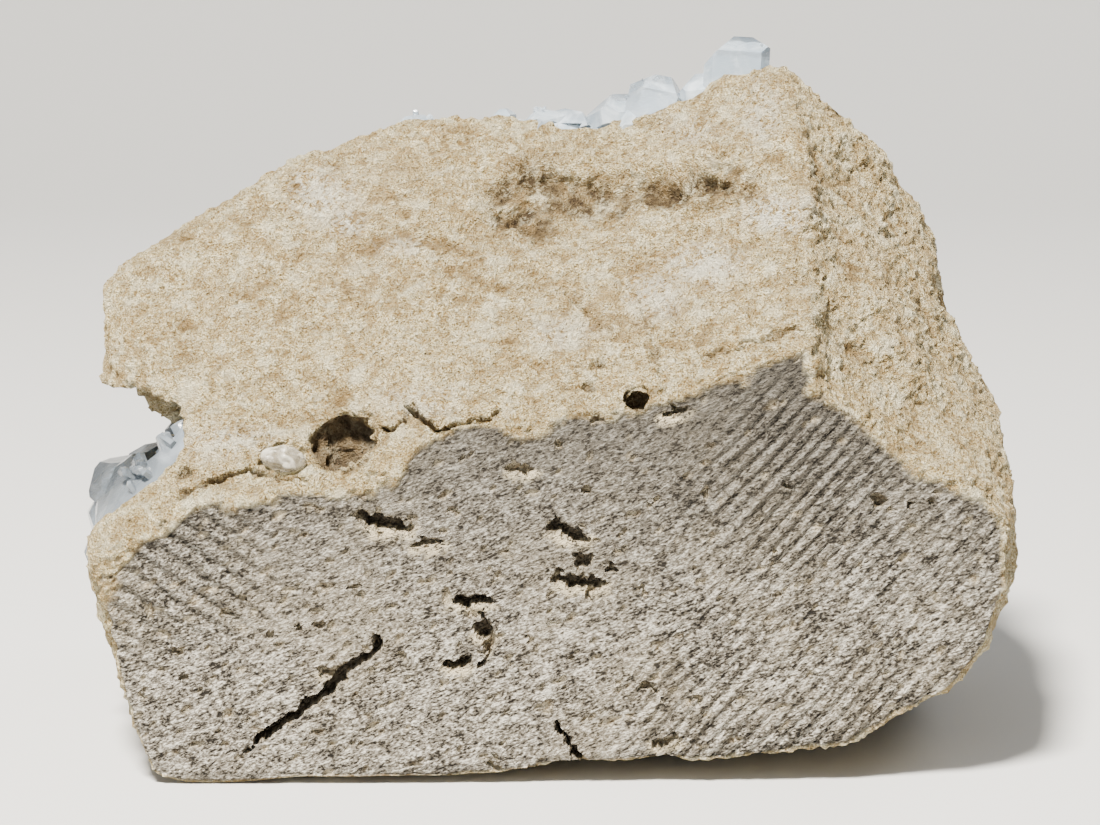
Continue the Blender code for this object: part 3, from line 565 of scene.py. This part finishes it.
def sawn_depth(spots, bent, frayed, narrow):
    """Depth in millimetres of pits, holes and cracks in the sawn face, and 1 on the holes' lower lips, which
    get a painted highlight.
    """
    dense = PIT_DENSE * smooth(*DENSE_U, spots[:, 0]) * smooth(*DENSE_V, spots[:, 1])
    low, high = PIT_LIMITS
    depth = smooth(low - dense, high - dense, wave(spread(spots), *SMALL_PITS)) * PIT_DEPTH
    lit_lip = np.zeros(len(spots))
    for row in SAWN_HOLES:
        depth = np.maximum(depth, smooth(*SAWN_HOLE_FADE, oval_share(frayed, row)) * row[5])
        if row[2] > LIP_SMALLEST:
            wider = (row[0], row[1], row[2] + LIP_WIDTH, row[3] + LIP_WIDTH, row[4])
            below = smooth(*LIP_BELOW, frayed[:, 1] - row[1])
            lit_lip = np.maximum(lit_lip, below * smooth(*LIP_FADE, oval_share(frayed, wider)))
    for line, deep in CRACKS:
        away, width = line_gap(bent, line)
        depth = np.maximum(depth, smooth(*CRACK_FADE, away - width * narrow) * deep)
    return depth, lit_lip


def depth_of_rind(bent, narrow):
    """Depth in millimetres of holes and cracks in the rind."""
    depth = np.zeros(len(bent))
    for row in RIND_HOLES:
        share = smooth(*RIND_HOLE_FADE, oval_share(bent, row))
        depth = np.maximum(depth, share * row[5] * RIND_HOLE_SHARE)
    for line, deep in RIND_CRACKS:
        away, width = line_gap(bent, line)
        depth = np.maximum(depth, smooth(*RIND_CRACK_FADE, away - width * narrow) * deep)
    return depth


def room_behind(mesh, co, out):
    """How far in, in millimetres, each point may go before the wall behind it gets thin."""
    tree = tree_of(mesh)
    room = np.full(len(co), WALL_FREE)
    for i, (p, n) in enumerate(zip(co.tolist(), out.tolist())):
        way = -Vector(n)
        gap = tree.ray_cast(Vector(p) + way * WALL_START * MM, way, WALL_REACH * MM)[3]
        if gap is not None:
            room[i] = max(0.0, gap / MM * WALL_PART - WALL_KEPT)
    return room


class Wire:
    """A socket of a material, used in sums as a number is."""

    def __init__(self, tree, socket):
        self.tree = tree
        self.socket = socket

    def maths(self, operation, first, second):
        made = self.tree.nodes.new("ShaderNodeMath")
        made.operation = operation
        for slot, value in zip(made.inputs, (first, second)):
            if isinstance(value, Wire):
                self.tree.links.new(value.socket, slot)
            else:
                slot.default_value = value
        return Wire(self.tree, made.outputs[0])

    def __add__(self, other):
        return self.maths("ADD", self, other)

    def __sub__(self, other):
        return self.maths("SUBTRACT", self, other)

    def __rsub__(self, other):
        return self.maths("SUBTRACT", other, self)

    def __mul__(self, other):
        return self.maths("MULTIPLY", self, other)

    __radd__ = __add__
    __rmul__ = __mul__


# A coat of colour: the limits of the value that it follows, its strength and the colour
Coat = namedtuple("Coat", "low high share colour")


class Finish:
    """A material under construction."""

    def __init__(self, name):
        self.material = bpy.data.materials.new(name)
        self.material.use_nodes = True
        self.tree = self.material.node_tree
        self.tree.nodes.clear()

    def node(self, kind, settings=(), inputs=(), output=0):
        made = self.tree.nodes.new("ShaderNode" + kind)
        for key, value in dict(settings).items():
            setattr(made, key, value)
        for key, value in dict(inputs).items():
            if isinstance(value, Wire):
                self.tree.links.new(value.socket, made.inputs[key])
            elif isinstance(value, tuple) and made.inputs[key].type == "RGBA":
                made.inputs[key].default_value = (*value, 1.0)
            else:
                made.inputs[key].default_value = value
        return Wire(self.tree, made.outputs[output])

    def place(self, turn=(0, 0, 0), scale=(1, 1, 1)):
        """Places on the piece, turned first and then scaled."""
        spot = self.node("TexCoord", output="Object")
        if turn == (0, 0, 0) and scale == (1, 1, 1):
            return spot
        turned = self.node("Mapping", inputs={"Vector": spot, "Rotation": turn})
        return self.node("Mapping", inputs={"Vector": turned, "Scale": scale})

    def cloud(self, place, scale, detail=4.0, rough=0.6, warp=0.0):
        return self.node("TexNoise", inputs={
            "Vector": place, "Scale": scale, "Detail": detail, "Roughness": rough, "Distortion": warp})

    def ramp(self, value, stops):
        """Colours along a value: rows of where and which colour."""
        made = self.node("ValToRGB", inputs={"Fac": value})
        elements = made.socket.node.color_ramp.elements
        while len(elements) < len(stops):
            elements.new(0.5)
        for element, (at, colour) in zip(elements, stops):
            element.position = at
            element.color = (*colour, 1.0)
        return made

    def limit(self, value, low, high):
        """0 up to low, 1 from high on and a smooth rise between."""
        return self.node("MapRange", {"interpolation_type": "SMOOTHSTEP"},
                         {"Value": value, "From Min": low, "From Max": high})

    def mix(self, share, first, second):
        return self.node("Mix", {"data_type": "RGBA"}, {0: share, 6: first, 7: second}, output=2)

    def coat(self, under, value, coat, mask=1.0):
        """Lays a coat over a colour."""
        return self.mix(self.limit(value, coat.low, coat.high) * coat.share * mask, under, coat.colour)

    def read(self, name):
        return self.node("Attribute", {"attribute_name": name}, output="Fac")

    def finish(self, surface, volume=None):
        end = self.tree.nodes.new("ShaderNodeOutputMaterial")
        self.tree.links.new(surface.socket, end.inputs["Surface"])
        if volume:
            self.tree.links.new(volume.socket, end.inputs["Volume"])
        return self.material


# Clouds of the stone: scale, detail and roughness. Those of the sawn face lie on stretched places
PATCH_CLOUD, BLOTCH_CLOUD, CLOD_CLOUD = (45.0, 3.0), (240.0, 4.0, 0.65), (520.0, 3.0, 0.65)
GRAIN_CLOUD, FINE_CLOUD = (1100.0, 3.0, 0.7), (3200.0, 2.0, 0.7)
COARSE_CLOUD, CLOSE_CLOUD, SCRATCH_CLOUD = (820.0, 3.0, 0.65), (2400.0, 2.0, 0.7), (900.0, 3.0, 0.6)
GRAIN_TURN, GRAIN_SCALE = (0, math.radians(22), 0), (0.55, 1.0, 1.2)
SCRATCH_TURN, SCRATCH_SCALE = (0, math.radians(47), 0), (0.10, 1.0, 1.0)

# Colours of the rind
TAN = [(0.34, (0.34, 0.20, 0.06)), (0.46, (0.76, 0.55, 0.22)), (0.58, (0.97, 0.81, 0.43))]
CREAM = [(0.40, (0.08, 0.045, 0.015)), (0.455, (0.60, 0.42, 0.17)), (0.51, (0.96, 0.82, 0.46)),
         (0.60, (1.0, 0.95, 0.70))]
CRUMBLY = [(0.42, (0.04, 0.025, 0.01)), (0.48, (0.70, 0.51, 0.22)), (0.54, (1.0, 0.90, 0.56)),
           (0.62, (1.0, 0.97, 0.80))]
CREAM_SHARE, CRUMBLY_SHARE = 0.62, 0.55
CLOD_COAT = Coat(0.50, 0.39, 0.52, (0.34, 0.21, 0.07))
DARK_COAT = Coat(0.53, 0.38, 0.50, (0.42, 0.275, 0.10))
BRIGHT_COAT = Coat(0.53, 0.66, 0.55, (1.0, 0.94, 0.68))
# Painted shade, brown, in the rind's low spots
LOW_SHADE_COAT = Coat(0.48, 0.12, 0.85, (0.25, 0.155, 0.055))
HIGH_COAT = Coat(0.55, 0.9, 0.40, (1.0, 0.94, 0.72))
STAIN_COAT = Coat(0.52, 0.70, 0.22, (0.60, 0.48, 0.29))
PALE_AND_LIT_COAT, PALE_BLEND = Coat(0.44, 0.52, 0.75, (1.0, 0.965, 0.82)), (0.6, 0.4)
# Painted shade with brown dirt over the rugged recess and the hollow
RECESS_SHADE_AND_DIRT_COAT = Coat(0.64, 0.44, 0.70, (0.27, 0.18, 0.08))
UNEVEN_LEAST, UNEVEN_LIMITS = 0.30, (0.36, 0.60)
LOW_LEAST, LOW_LIMITS = 0.35, (0.58, 0.44)
# Painted shade with dark brown dirt in the rugged areas' crevices, broken up by the grain
CAVITY_LEAST, CAVITY_LIMITS, CREVICE_SHADE_AND_DIRT_COLOUR = 0.5, (0.58, 0.44), (0.085, 0.055, 0.025)
# Painted shade in the rind's holes and cracks
RIND_PIT_SHADE_SHARE, RIND_PIT_SHADE_COLOUR = 0.7, (0.14, 0.095, 0.05)

# Colours of the sawn face
GREY = [(0.40, (0.010, 0.008, 0.005)), (0.46, (0.13, 0.112, 0.086)), (0.53, (0.31, 0.28, 0.23)),
        (0.60, (0.74, 0.70, 0.60))]
MOTTLE, SCRATCH_SHARE = (0.40, 0.60), 0.30
WARM_COAT = Coat(0.45, 0.62, 0.26, (0.34, 0.29, 0.205))
# Painted shade: the sawn face is darkened towards its top
UPPER_SHADE_SHARE, UPPER_SHADE_COLOUR = 0.90, (0.075, 0.066, 0.052)
# Painted shade in the saw furrows, darker where they are deeper
CUT_SHADE_SHARE, CUT_SHADE_COLOUR = 0.20, (0.09, 0.076, 0.058)
# Painted shade, nearly black, in the small dents of the sawn face, where its bump sinks
GAP_LIMITS, GAP_SHADE_SHARE, GAP_SHADE_COLOUR = (0.44, 0.385), 0.85, (0.018, 0.014, 0.009)
INNER = [(0.36, (0.20, 0.14, 0.07)), (0.56, (0.66, 0.57, 0.40))]
# Painted shade, nearly black, deep in the holes and cracks; then how much the holes take their own colour
DEEP_SHADE_SHARE, DEEP_SHADE_COLOUR, PIT_SHARE = 0.9, (0.045, 0.032, 0.018), 0.85
EVEN_BLEND = (0.5, 0.5)
# Painted highlight on the lower lips of the sawn face's holes
LIT_LIP_COAT = Coat(0.42, 0.50, 1.0, (0.70, 0.60, 0.40))

# Tooth of the stone under the light
TOOTH, CUT_TOOTH = (0.8, 1.2, 0.7), (0.8, 0.8, -0.7, 0.7)
RIND_TOOTH, TOOTH_DEPTH = 1.8, 0.0019
STONE_ROUGH, GRAIN_GLOSS, STONE_SPECULAR = 0.93, 0.06, 0.25


def stone_finish():
    f = Finish("pale limestone")
    spot = f.place()
    sawn, right = f.read("sawn"), f.read("right")
    relief = f.read("relief")
    patches = f.cloud(spot, *PATCH_CLOUD)
    blotches = f.cloud(spot, *BLOTCH_CLOUD)
    clods = f.cloud(spot, *CLOD_CLOUD)
    grain = f.cloud(spot, *GRAIN_CLOUD)
    fine = f.cloud(spot, *FINE_CLOUD)

    # The rind
    rind = f.mix(CREAM_SHARE, f.ramp(blotches, TAN), f.ramp(grain, CREAM))
    rind = f.mix(CRUMBLY_SHARE, rind, f.ramp(fine, CRUMBLY))
    uneven = UNEVEN_LEAST + (1.0 - UNEVEN_LEAST) * f.limit(patches, *UNEVEN_LIMITS)
    low_spots = LOW_LEAST + (1.0 - LOW_LEAST) * f.limit(blotches, *LOW_LIMITS)
    rind = f.coat(rind, clods, CLOD_COAT)
    rind = f.coat(rind, blotches, DARK_COAT, uneven)
    rind = f.coat(rind, blotches, BRIGHT_COAT)
    # Painted shade, brown, in the rind's low spots
    rind = f.coat(rind, relief, LOW_SHADE_COAT, low_spots * uneven)
    rind = f.coat(rind, relief, HIGH_COAT)
    rind = f.coat(rind, patches, STAIN_COAT)
    # Pale patches: the rind's whitish colour, and painted light on the lit ledges
    rind = f.coat(rind, blend((grain, blotches), PALE_BLEND), PALE_AND_LIT_COAT, f.read("pale"))
    # Painted shade with brown dirt over the rugged recess and the hollow
    rind = f.coat(rind, blotches, RECESS_SHADE_AND_DIRT_COAT, f.read("rugged"))
    dark = CAVITY_LEAST + (1.0 - CAVITY_LEAST) * f.limit(grain, *CAVITY_LIMITS)
    # Painted shade with dark brown dirt in the crevices of the rugged areas
    rind = f.mix(f.read("crevice_shade_and_dirt") * dark, rind, CREVICE_SHADE_AND_DIRT_COLOUR)
    # Painted shade in the rind's holes and cracks
    rind = f.mix(f.read("rind_pit") * RIND_PIT_SHADE_SHARE, rind, RIND_PIT_SHADE_COLOUR)

    # The sawn face
    grain_at = f.place(GRAIN_TURN, GRAIN_SCALE)
    coarse = f.cloud(grain_at, *COARSE_CLOUD)
    close = f.cloud(grain_at, *CLOSE_CLOUD)
    scratches = f.cloud(f.place(SCRATCH_TURN, SCRATCH_SCALE), *SCRATCH_CLOUD)
    mottle = blend((coarse, close), MOTTLE) + (scratches - 0.5) * right * SCRATCH_SHARE
    grey = f.coat(f.ramp(mottle, GREY), patches, WARM_COAT)
    # Painted shade, darkest at the top of the sawn face
    grey = f.mix((1.0 - f.read("shade")) * UPPER_SHADE_SHARE, grey, UPPER_SHADE_COLOUR)
    # Painted shade in the saw furrows
    grey = f.mix(f.read("cut") * CUT_SHADE_SHARE, grey, CUT_SHADE_COLOUR)
    # Painted shade, nearly black, in the small dents where the bump sinks
    gaps = f.limit(blend((close, coarse), EVEN_BLEND), *GAP_LIMITS)
    grey = f.mix(gaps * GAP_SHADE_SHARE, grey, GAP_SHADE_COLOUR)
    # The holes' own colour, with painted shade deep inside them
    inner = f.mix(f.read("deep") * DEEP_SHADE_SHARE, f.ramp(grain, INNER), DEEP_SHADE_COLOUR)
    colour = f.mix(sawn, rind, grey)
    # Painted highlight on the lower lips of the holes
    colour = f.coat(colour, blend((grain, close), EVEN_BLEND), LIT_LIP_COAT, f.read("lit_lip"))
    colour = f.mix(f.read("pit") * PIT_SHARE, colour, inner)

    tooth = blend((blotches, grain, fine), TOOTH) * (1.0 - sawn) * RIND_TOOTH
    tooth = tooth + blend((coarse, close, gaps, scratches * right), CUT_TOOTH) * sawn
    bump = f.node("Bump", inputs={"Height": tooth, "Strength": 1.0, "Distance": TOOTH_DEPTH})
    shader = f.node("BsdfPrincipled", inputs={
        "Base Color": colour, "Roughness": STONE_ROUGH - grain * GRAIN_GLOSS,
        "Specular IOR Level": STONE_SPECULAR, "Normal": bump})
    return f.finish(shader)


# Crystals: clouds with a warp, colours, and how light goes through
VEIL_CLOUD, WISP_CLOUD, STEP_CLOUD = (160.0, 4.0, 0.6, 0.8), (700.0, 3.0, 0.6), (900.0, 2.0, 0.5)
STEP_TURN, STEP_SCALE = (0.3, 0.2, 0.5), (1.0, 0.25, 2.2)
CLEAR_TINT = [(0.30, (0.60, 0.71, 0.81)), (0.62, (0.84, 0.89, 0.93))]
# Painted shade: the darker tint of the side pocket's clear crystals, and its share
POCKET_SHADE_TINT, POCKET_SHADE_TINT_SHARE = (0.34, 0.39, 0.44), 0.9
MILKY, MILKY_PALE, MILKY_LIMITS = (0.40, 0.48, 0.56), (0.58, 0.65, 0.71), (0.35, 0.7)
# Painted shade: the darker milky colour of the side pocket's crystals, and its share
POCKET_SHADE_MILKY, POCKET_SHADE_MILKY_SHARE = (0.22, 0.25, 0.28), 0.8
CRYSTAL_IOR = 1.62
CLEAR_ROUGH, WISP_ROUGH, WISP_LIMITS, MILKY_ROUGH = 0.05, 0.18, (0.5, 0.75), 0.22
STEP_TOOTH, STEP_STRENGTH, STEP_DEPTH = (1.0, 0.4), 0.22, 0.0003
MILKY_LEAST, MILKY_VEIL, MILKY_ROOT, VEIL_LIMITS = 0.16, 0.22, 0.42, (0.45, 0.72)
SOAK_COLOUR, SOAK_DENSITY = (0.50, 0.67, 0.79), 90.0


def crystal_finish():
    f = Finish("pale blue crystal")
    spot = f.place()
    # Where the side pocket's crystals get painted shade
    pocket = f.read("pocket")
    veils = f.cloud(spot, *VEIL_CLOUD)
    wisps = f.cloud(spot, *WISP_CLOUD)
    steps = f.cloud(f.place(STEP_TURN, STEP_SCALE), *STEP_CLOUD)
    bump = f.node("Bump", inputs={
        "Height": blend((steps, wisps), STEP_TOOTH), "Strength": STEP_STRENGTH, "Distance": STEP_DEPTH})
    clear = f.node("BsdfPrincipled", inputs={
        "Base Color": f.mix(pocket * POCKET_SHADE_TINT_SHARE, f.ramp(veils, CLEAR_TINT), POCKET_SHADE_TINT),
        "Roughness": CLEAR_ROUGH + f.limit(wisps, *WISP_LIMITS) * WISP_ROUGH,
        "IOR": CRYSTAL_IOR, "Transmission Weight": 1.0, "Normal": bump})
    milky_colour = f.mix(f.limit(veils, *MILKY_LIMITS), MILKY, MILKY_PALE)
    milky = f.node("BsdfPrincipled", inputs={
        "Base Color": f.mix(pocket * POCKET_SHADE_MILKY_SHARE, milky_colour, POCKET_SHADE_MILKY),
        "Roughness": MILKY_ROUGH, "IOR": CRYSTAL_IOR, "Normal": bump})
    share = MILKY_LEAST + f.limit(veils, *VEIL_LIMITS) * MILKY_VEIL + f.read("root") * MILKY_ROOT
    shader = f.node("MixShader", inputs={0: share, 1: clear, 2: milky})
    soak = f.node("VolumeAbsorption", inputs={"Color": SOAK_COLOUR, "Density": SOAK_DENSITY})
    return f.finish(shader, soak)


# The single clear crystal, in the same terms
LONE_CLOUD, LONE_STRENGTH, LONE_DEPTH = (420.0, 4.0, 0.6, 0.5), 0.5, 0.0006
LONE_TINT, LONE_ROUGH, LONE_IOR = (0.86, 0.82, 0.70), 0.12, 1.6
LONE_MILKY, LONE_MILKY_ROUGH = [(0.38, (0.36, 0.31, 0.22)), (0.62, (0.72, 0.68, 0.57))], 0.3
LONE_LEAST, LONE_VEIL, LONE_LIMITS = 0.30, 0.35, (0.42, 0.66)
LONE_LEVELS = 3
DENTS, DENT_DEPTH = (2.6, 7.0, 2), 0.35
CHIPS, CHIP_LIMITS, CHIP_DEPTH = (4.0, 17.0, 2), (0.1, 0.6), 0.5


def lone_finish():
    f = Finish("clear cream crystal")
    veils = f.cloud(f.place(), *LONE_CLOUD)
    bump = f.node("Bump", inputs={"Height": veils, "Strength": LONE_STRENGTH, "Distance": LONE_DEPTH})
    clear = f.node("BsdfPrincipled", inputs={
        "Base Color": LONE_TINT, "Roughness": LONE_ROUGH, "IOR": LONE_IOR, "Transmission Weight": 1.0,
        "Normal": bump})
    milky = f.node("BsdfPrincipled", inputs={
        "Base Color": f.ramp(veils, LONE_MILKY), "Roughness": LONE_MILKY_ROUGH, "Normal": bump})
    share = LONE_LEAST + f.limit(veils, *LONE_LIMITS) * LONE_VEIL
    return f.finish(f.node("MixShader", inputs={0: share, 1: clear, 2: milky}))


def dent_crystal(mesh):
    """Small dents and chips, always inwards."""
    co = corners(mesh)
    dents = DENT_DEPTH * (1.0 + wave(co, *DENTS)) + CHIP_DEPTH * smooth(*CHIP_LIMITS, wave(co, *CHIPS))
    put_corners(mesh, co - normals(mesh) * (dents * MM)[:, None])


# The side pocket, whose crystals get painted shade: its limits in x and z, and how near the stone a crystal's
# root is, in millimetres
POCKET_X, POCKET_Z = (-56.0, -62.0), (62.0, 58.0)
CRYSTAL_ROOT, DRUSE_ROOT = (9.0, 2.0), (8.0, 2.0)


def store_place(mesh, stone_tree, root):
    """Keeps how near the stone and how far in the side pocket, where painted shade darkens the crystals, each
    point of a crystal mesh is.
    """
    co = corners(mesh)
    store(mesh, "root", smooth(*root, gaps_to(stone_tree, co)))
    store(mesh, "pocket", smooth(*POCKET_X, co[:, 0] / MM) * smooth(*POCKET_Z, co[:, 2] / MM))


def make_crystals(stone_tree):
    crystals = copy_of_node("celestite_crust", "crystals")
    store_place(crystals.data, stone_tree, CRYSTAL_ROOT)
    activate(crystals)
    bpy.ops.object.shade_flat()
    return crystals


# Small crystals: how many on the lining and on its rim, the rim's plane, and the middle they lean to
DRUSE_COUNT, RIM_COUNT = 1500, 420
RIM_POINT = Vector((0.0, 0.0264, 0.0625))
MOUTH_NORMAL = Vector((0.0, 0.88, 0.475)).normalized()
HOLLOW_MIDDLE = Vector((0.0, 0.052, 0.078))
# Faces that bear them: distance from the stone in mm, and how they turn to it and to the mouth
LINING_NEAR, LINING_FAR, LINING_TURN = 0.8, 6.5, -0.1
RIM_FAR, RIM_TURN, RIM_MOUTH = 4.2, 0.75, 0.35
LEAN, LEAN_IN = 0.33, 0.25
# Heights in mm and widths as shares of them, and where they are fewer, smaller or none
DRUSE_HEIGHT, DRUSE_WIDTH, PAST_RIM_SIZE = (1.2, 3.8), (0.9, 1.5), 0.6
TOP_FRONT_Z, TOP_FRONT_Y, TOP_FRONT_SIZE, TOP_FRONT_LEFT_OUT = 94, 26, 0.5, 0.8
BARE_X, BARE_Y = -70, 10
# The crystal that they are copies of: its prism and the planes that cut its point
PRISM = {"vertices": 6, "radius": 0.5, "depth": 1.6, "location": (0, 0, 0.2)}
PRISM_FLATTENED = (1.0, 0.62, 1.0)
POINT_CUTS = [
    ((0.0, 0.10, 1.0), (0.0, 0.72, 0.69)), ((0.0, -0.04, 1.0), (0.1, -0.75, 0.66)),
    ((0.2, 0.0, 0.98), (0.70, 0.05, 0.72)), ((-0.28, 0.0, 0.98), (-0.62, 0.05, 0.78)),
]


def crystal_template():
    """One small bladed crystal, point up, 1 high over its root."""
    bpy.ops.mesh.primitive_cylinder_add(**PRISM)
    made = bpy.context.object
    bpy.ops.object.transform_apply(location=True)
    made.scale = PRISM_FLATTENED
    bpy.ops.object.transform_apply(scale=True)
    bpy.ops.object.mode_set(mode="EDIT")
    for point, facing in POINT_CUTS:
        bpy.ops.mesh.select_all(action="SELECT")
        bpy.ops.mesh.bisect(plane_co=point, plane_no=facing, use_fill=True, clear_outer=True)
    bpy.ops.mesh.select_all(action="SELECT")
    bpy.ops.mesh.normals_make_consistent(inside=False)
    bpy.ops.object.mode_set(mode="OBJECT")
    return made


def druse_places(mesh, stone_tree, chance):
    """Triangles to grow small crystals on, drawn by area: first of the lining, then of its rim."""
    mesh.calc_loop_triangles()
    lining, lining_areas, rim, rim_areas = [], [], [], []
    for tri in mesh.loop_triangles:
        a, b, c = (mesh.vertices[i].co.copy() for i in tri.vertices)
        middle = (a + b + c) / 3
        hit, _, _, gap = stone_tree.find_nearest(middle)
        turn = (middle - hit).normalized().dot(tri.normal)
        row = (a, b, c, tri.normal.copy())
        if gap < LINING_FAR * MM and gap > LINING_NEAR * MM and turn > LINING_TURN:
            lining.append(row)
            lining_areas.append(tri.area)
        if gap < RIM_FAR * MM and abs(turn) < RIM_TURN and tri.normal.dot(MOUTH_NORMAL) > RIM_MOUTH:
            rim.append(row)
            rim_areas.append(tri.area)
    places = chance.choices(lining, weights=lining_areas, k=DRUSE_COUNT)
    return places + chance.choices(rim, weights=rim_areas, k=RIM_COUNT)


def make_druse(crystals, stone_tree):
    """Small crystals grown over the lining between the large ones."""
    template = crystal_template()
    shape = corners(template.data).tolist()
    faces = [tuple(p.vertices) for p in template.data.polygons]
    bpy.data.objects.remove(template, do_unlink=True)

    chance = random.Random(SEED)
    verts, polys = [], []
    for number, (a, b, c, normal) in enumerate(druse_places(crystals.data, stone_tree, chance)):
        r, s = chance.random(), chance.random()
        if r + s > 1:
            r, s = 1 - r, 1 - s
        point = a + (b - a) * r + (c - a) * s
        lean = Vector((chance.gauss(0, LEAN), chance.gauss(0, LEAN), chance.gauss(0, LEAN)))
        up = (normal + lean + (HOLLOW_MIDDLE - point).normalized() * LEAN_IN).normalized()
        top_front = point.z > TOP_FRONT_Z * MM and point.y < TOP_FRONT_Y * MM
        if number < DRUSE_COUNT and top_front and chance.random() < TOP_FRONT_LEFT_OUT:
            continue
        if point.x < BARE_X * MM and point.y < BARE_Y * MM:
            continue
        past_rim = (point - RIM_POINT).dot(MOUTH_NORMAL) > 0
        high = chance.uniform(*DRUSE_HEIGHT) * MM * (PAST_RIM_SIZE if past_rim else 1.0)
        if top_front:
            high *= TOP_FRONT_SIZE
        wide = high * chance.uniform(*DRUSE_WIDTH)
        turn = up.to_track_quat("Z", "Y").to_matrix() @ Matrix.Rotation(chance.uniform(0, math.tau), 3, "Z")
        base = len(verts)
        verts.extend(point + turn @ Vector((x * wide, y * wide, z * high)) for x, y, z in shape)
        polys.extend(tuple(base + i for i in face) for face in faces)
    low, high = CAD_BOX
    verts = [[min(max(v[k], low[k]), high[k]) for k in range(3)] for v in verts]
    mesh = bpy.data.meshes.new("druse")
    mesh.from_pydata(verts, [], polys)
    druse = new_piece("druse", mesh)
    store_place(mesh, stone_tree, DRUSE_ROOT)
    return druse


# The backdrop in metres: its half width, its front and back, its height and the radius of its bend
STAGE_HALF, STAGE_FRONT, STAGE_BACK, STAGE_HEIGHT, STAGE_BEND, BEND_STEPS = 1.6, -1.6, 1.1, 1.8, 0.5, 12
PAPER = {"Base Color": (0.60, 0.60, 0.59), "Roughness": 0.9, "Specular IOR Level": 0.1}
# Lights: name, place, size, power and colour
LIGHTS = [
    ("key", (-0.20, -0.48, 0.95), 0.20, 58.0, (1.0, 0.945, 0.86)),
    ("fill", (-0.75, -0.85, 0.35), 0.9, 3.4, (0.97, 0.98, 1.0)),
    ("rim", (0.65, 0.55, 0.75), 0.6, 4.0, (1.0, 1.0, 1.0)),
]
SKY_COLOUR, SKY_STRENGTH = (0.95, 0.97, 1.0, 1.0), 0.26


def make_stage():
    """A floor that runs up into a backdrop in one sweep."""
    profile = [(STAGE_FRONT, 0.0), (STAGE_BACK - STAGE_BEND, 0.0)]
    for i in range(1, BEND_STEPS + 1):
        a = math.radians(90 * i / BEND_STEPS)
        profile.append((STAGE_BACK - STAGE_BEND + STAGE_BEND * math.sin(a),
                        STAGE_BEND - STAGE_BEND * math.cos(a)))
    profile.append((STAGE_BACK, STAGE_HEIGHT))
    verts = [(x, y, z) for x in (-STAGE_HALF, STAGE_HALF) for y, z in profile]
    n = len(profile)
    faces = [(i, i + 1, n + i + 1, n + i) for i in range(n - 1)]
    mesh = bpy.data.meshes.new("backdrop")
    mesh.from_pydata(verts, [], faces)
    backdrop = new_piece("backdrop", mesh)
    bpy.ops.object.mode_set(mode="EDIT")
    bpy.ops.mesh.select_all(action="SELECT")
    bpy.ops.mesh.normals_make_consistent(inside=True)
    bpy.ops.object.mode_set(mode="OBJECT")
    bpy.ops.object.shade_smooth()
    f = Finish("studio paper")
    mesh.materials.append(f.finish(f.node("BsdfPrincipled", inputs=PAPER)))


def add_to_scene(name, data, place, facing):
    """Adds a light or camera that faces a way."""
    made = bpy.data.objects.new(name, data)
    bpy.context.scene.collection.objects.link(made)
    made.location = place
    made.rotation_euler = facing.to_track_quat("-Z", "Y").to_euler()
    return made


def make_camera():
    lens = bpy.data.cameras.new("camera")
    lens.lens = LENS
    lens.sensor_width = SENSOR
    bpy.context.scene.camera = add_to_scene("camera", lens, EYE, -TO_CAMERA)


def make_studio():
    make_stage()
    for name, place, size, power, colour in LIGHTS:
        light = bpy.data.lights.new(name, "AREA")
        light.shape = "DISK"
        light.size = size
        light.energy = power
        light.color = colour
        add_to_scene(name, light, place, AIM - Vector(place))
    world = bpy.data.worlds.new("studio")
    world.use_nodes = True
    sky = world.node_tree.nodes["Background"].inputs
    sky["Color"].default_value = SKY_COLOUR
    sky["Strength"].default_value = SKY_STRENGTH
    bpy.context.scene.world = world


stone_tree = tree_of(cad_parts["matrix_stone"].data)
stone = make_stone()
stone.data.materials.append(stone_finish())
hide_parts("matrix_stone")
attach(stone, "root")

crystals = make_crystals(stone_tree)
druse = make_druse(crystals, stone_tree)
crystal_look = crystal_finish()
for piece in (crystals, druse):
    piece.data.materials.append(crystal_look)
    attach(piece, "root")
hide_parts("celestite_crust")

lone = copy_of_node("lone_crystal", "clear_crystal")
apply_modifier(lone, "SUBSURF", levels=LONE_LEVELS, render_levels=LONE_LEVELS)
dent_crystal(lone.data)
bpy.ops.object.shade_smooth()
lone.data.materials.append(lone_finish())
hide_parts("lone_crystal")
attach(lone, "root")

make_camera()
make_studio()
bpy.context.view_layer.update()
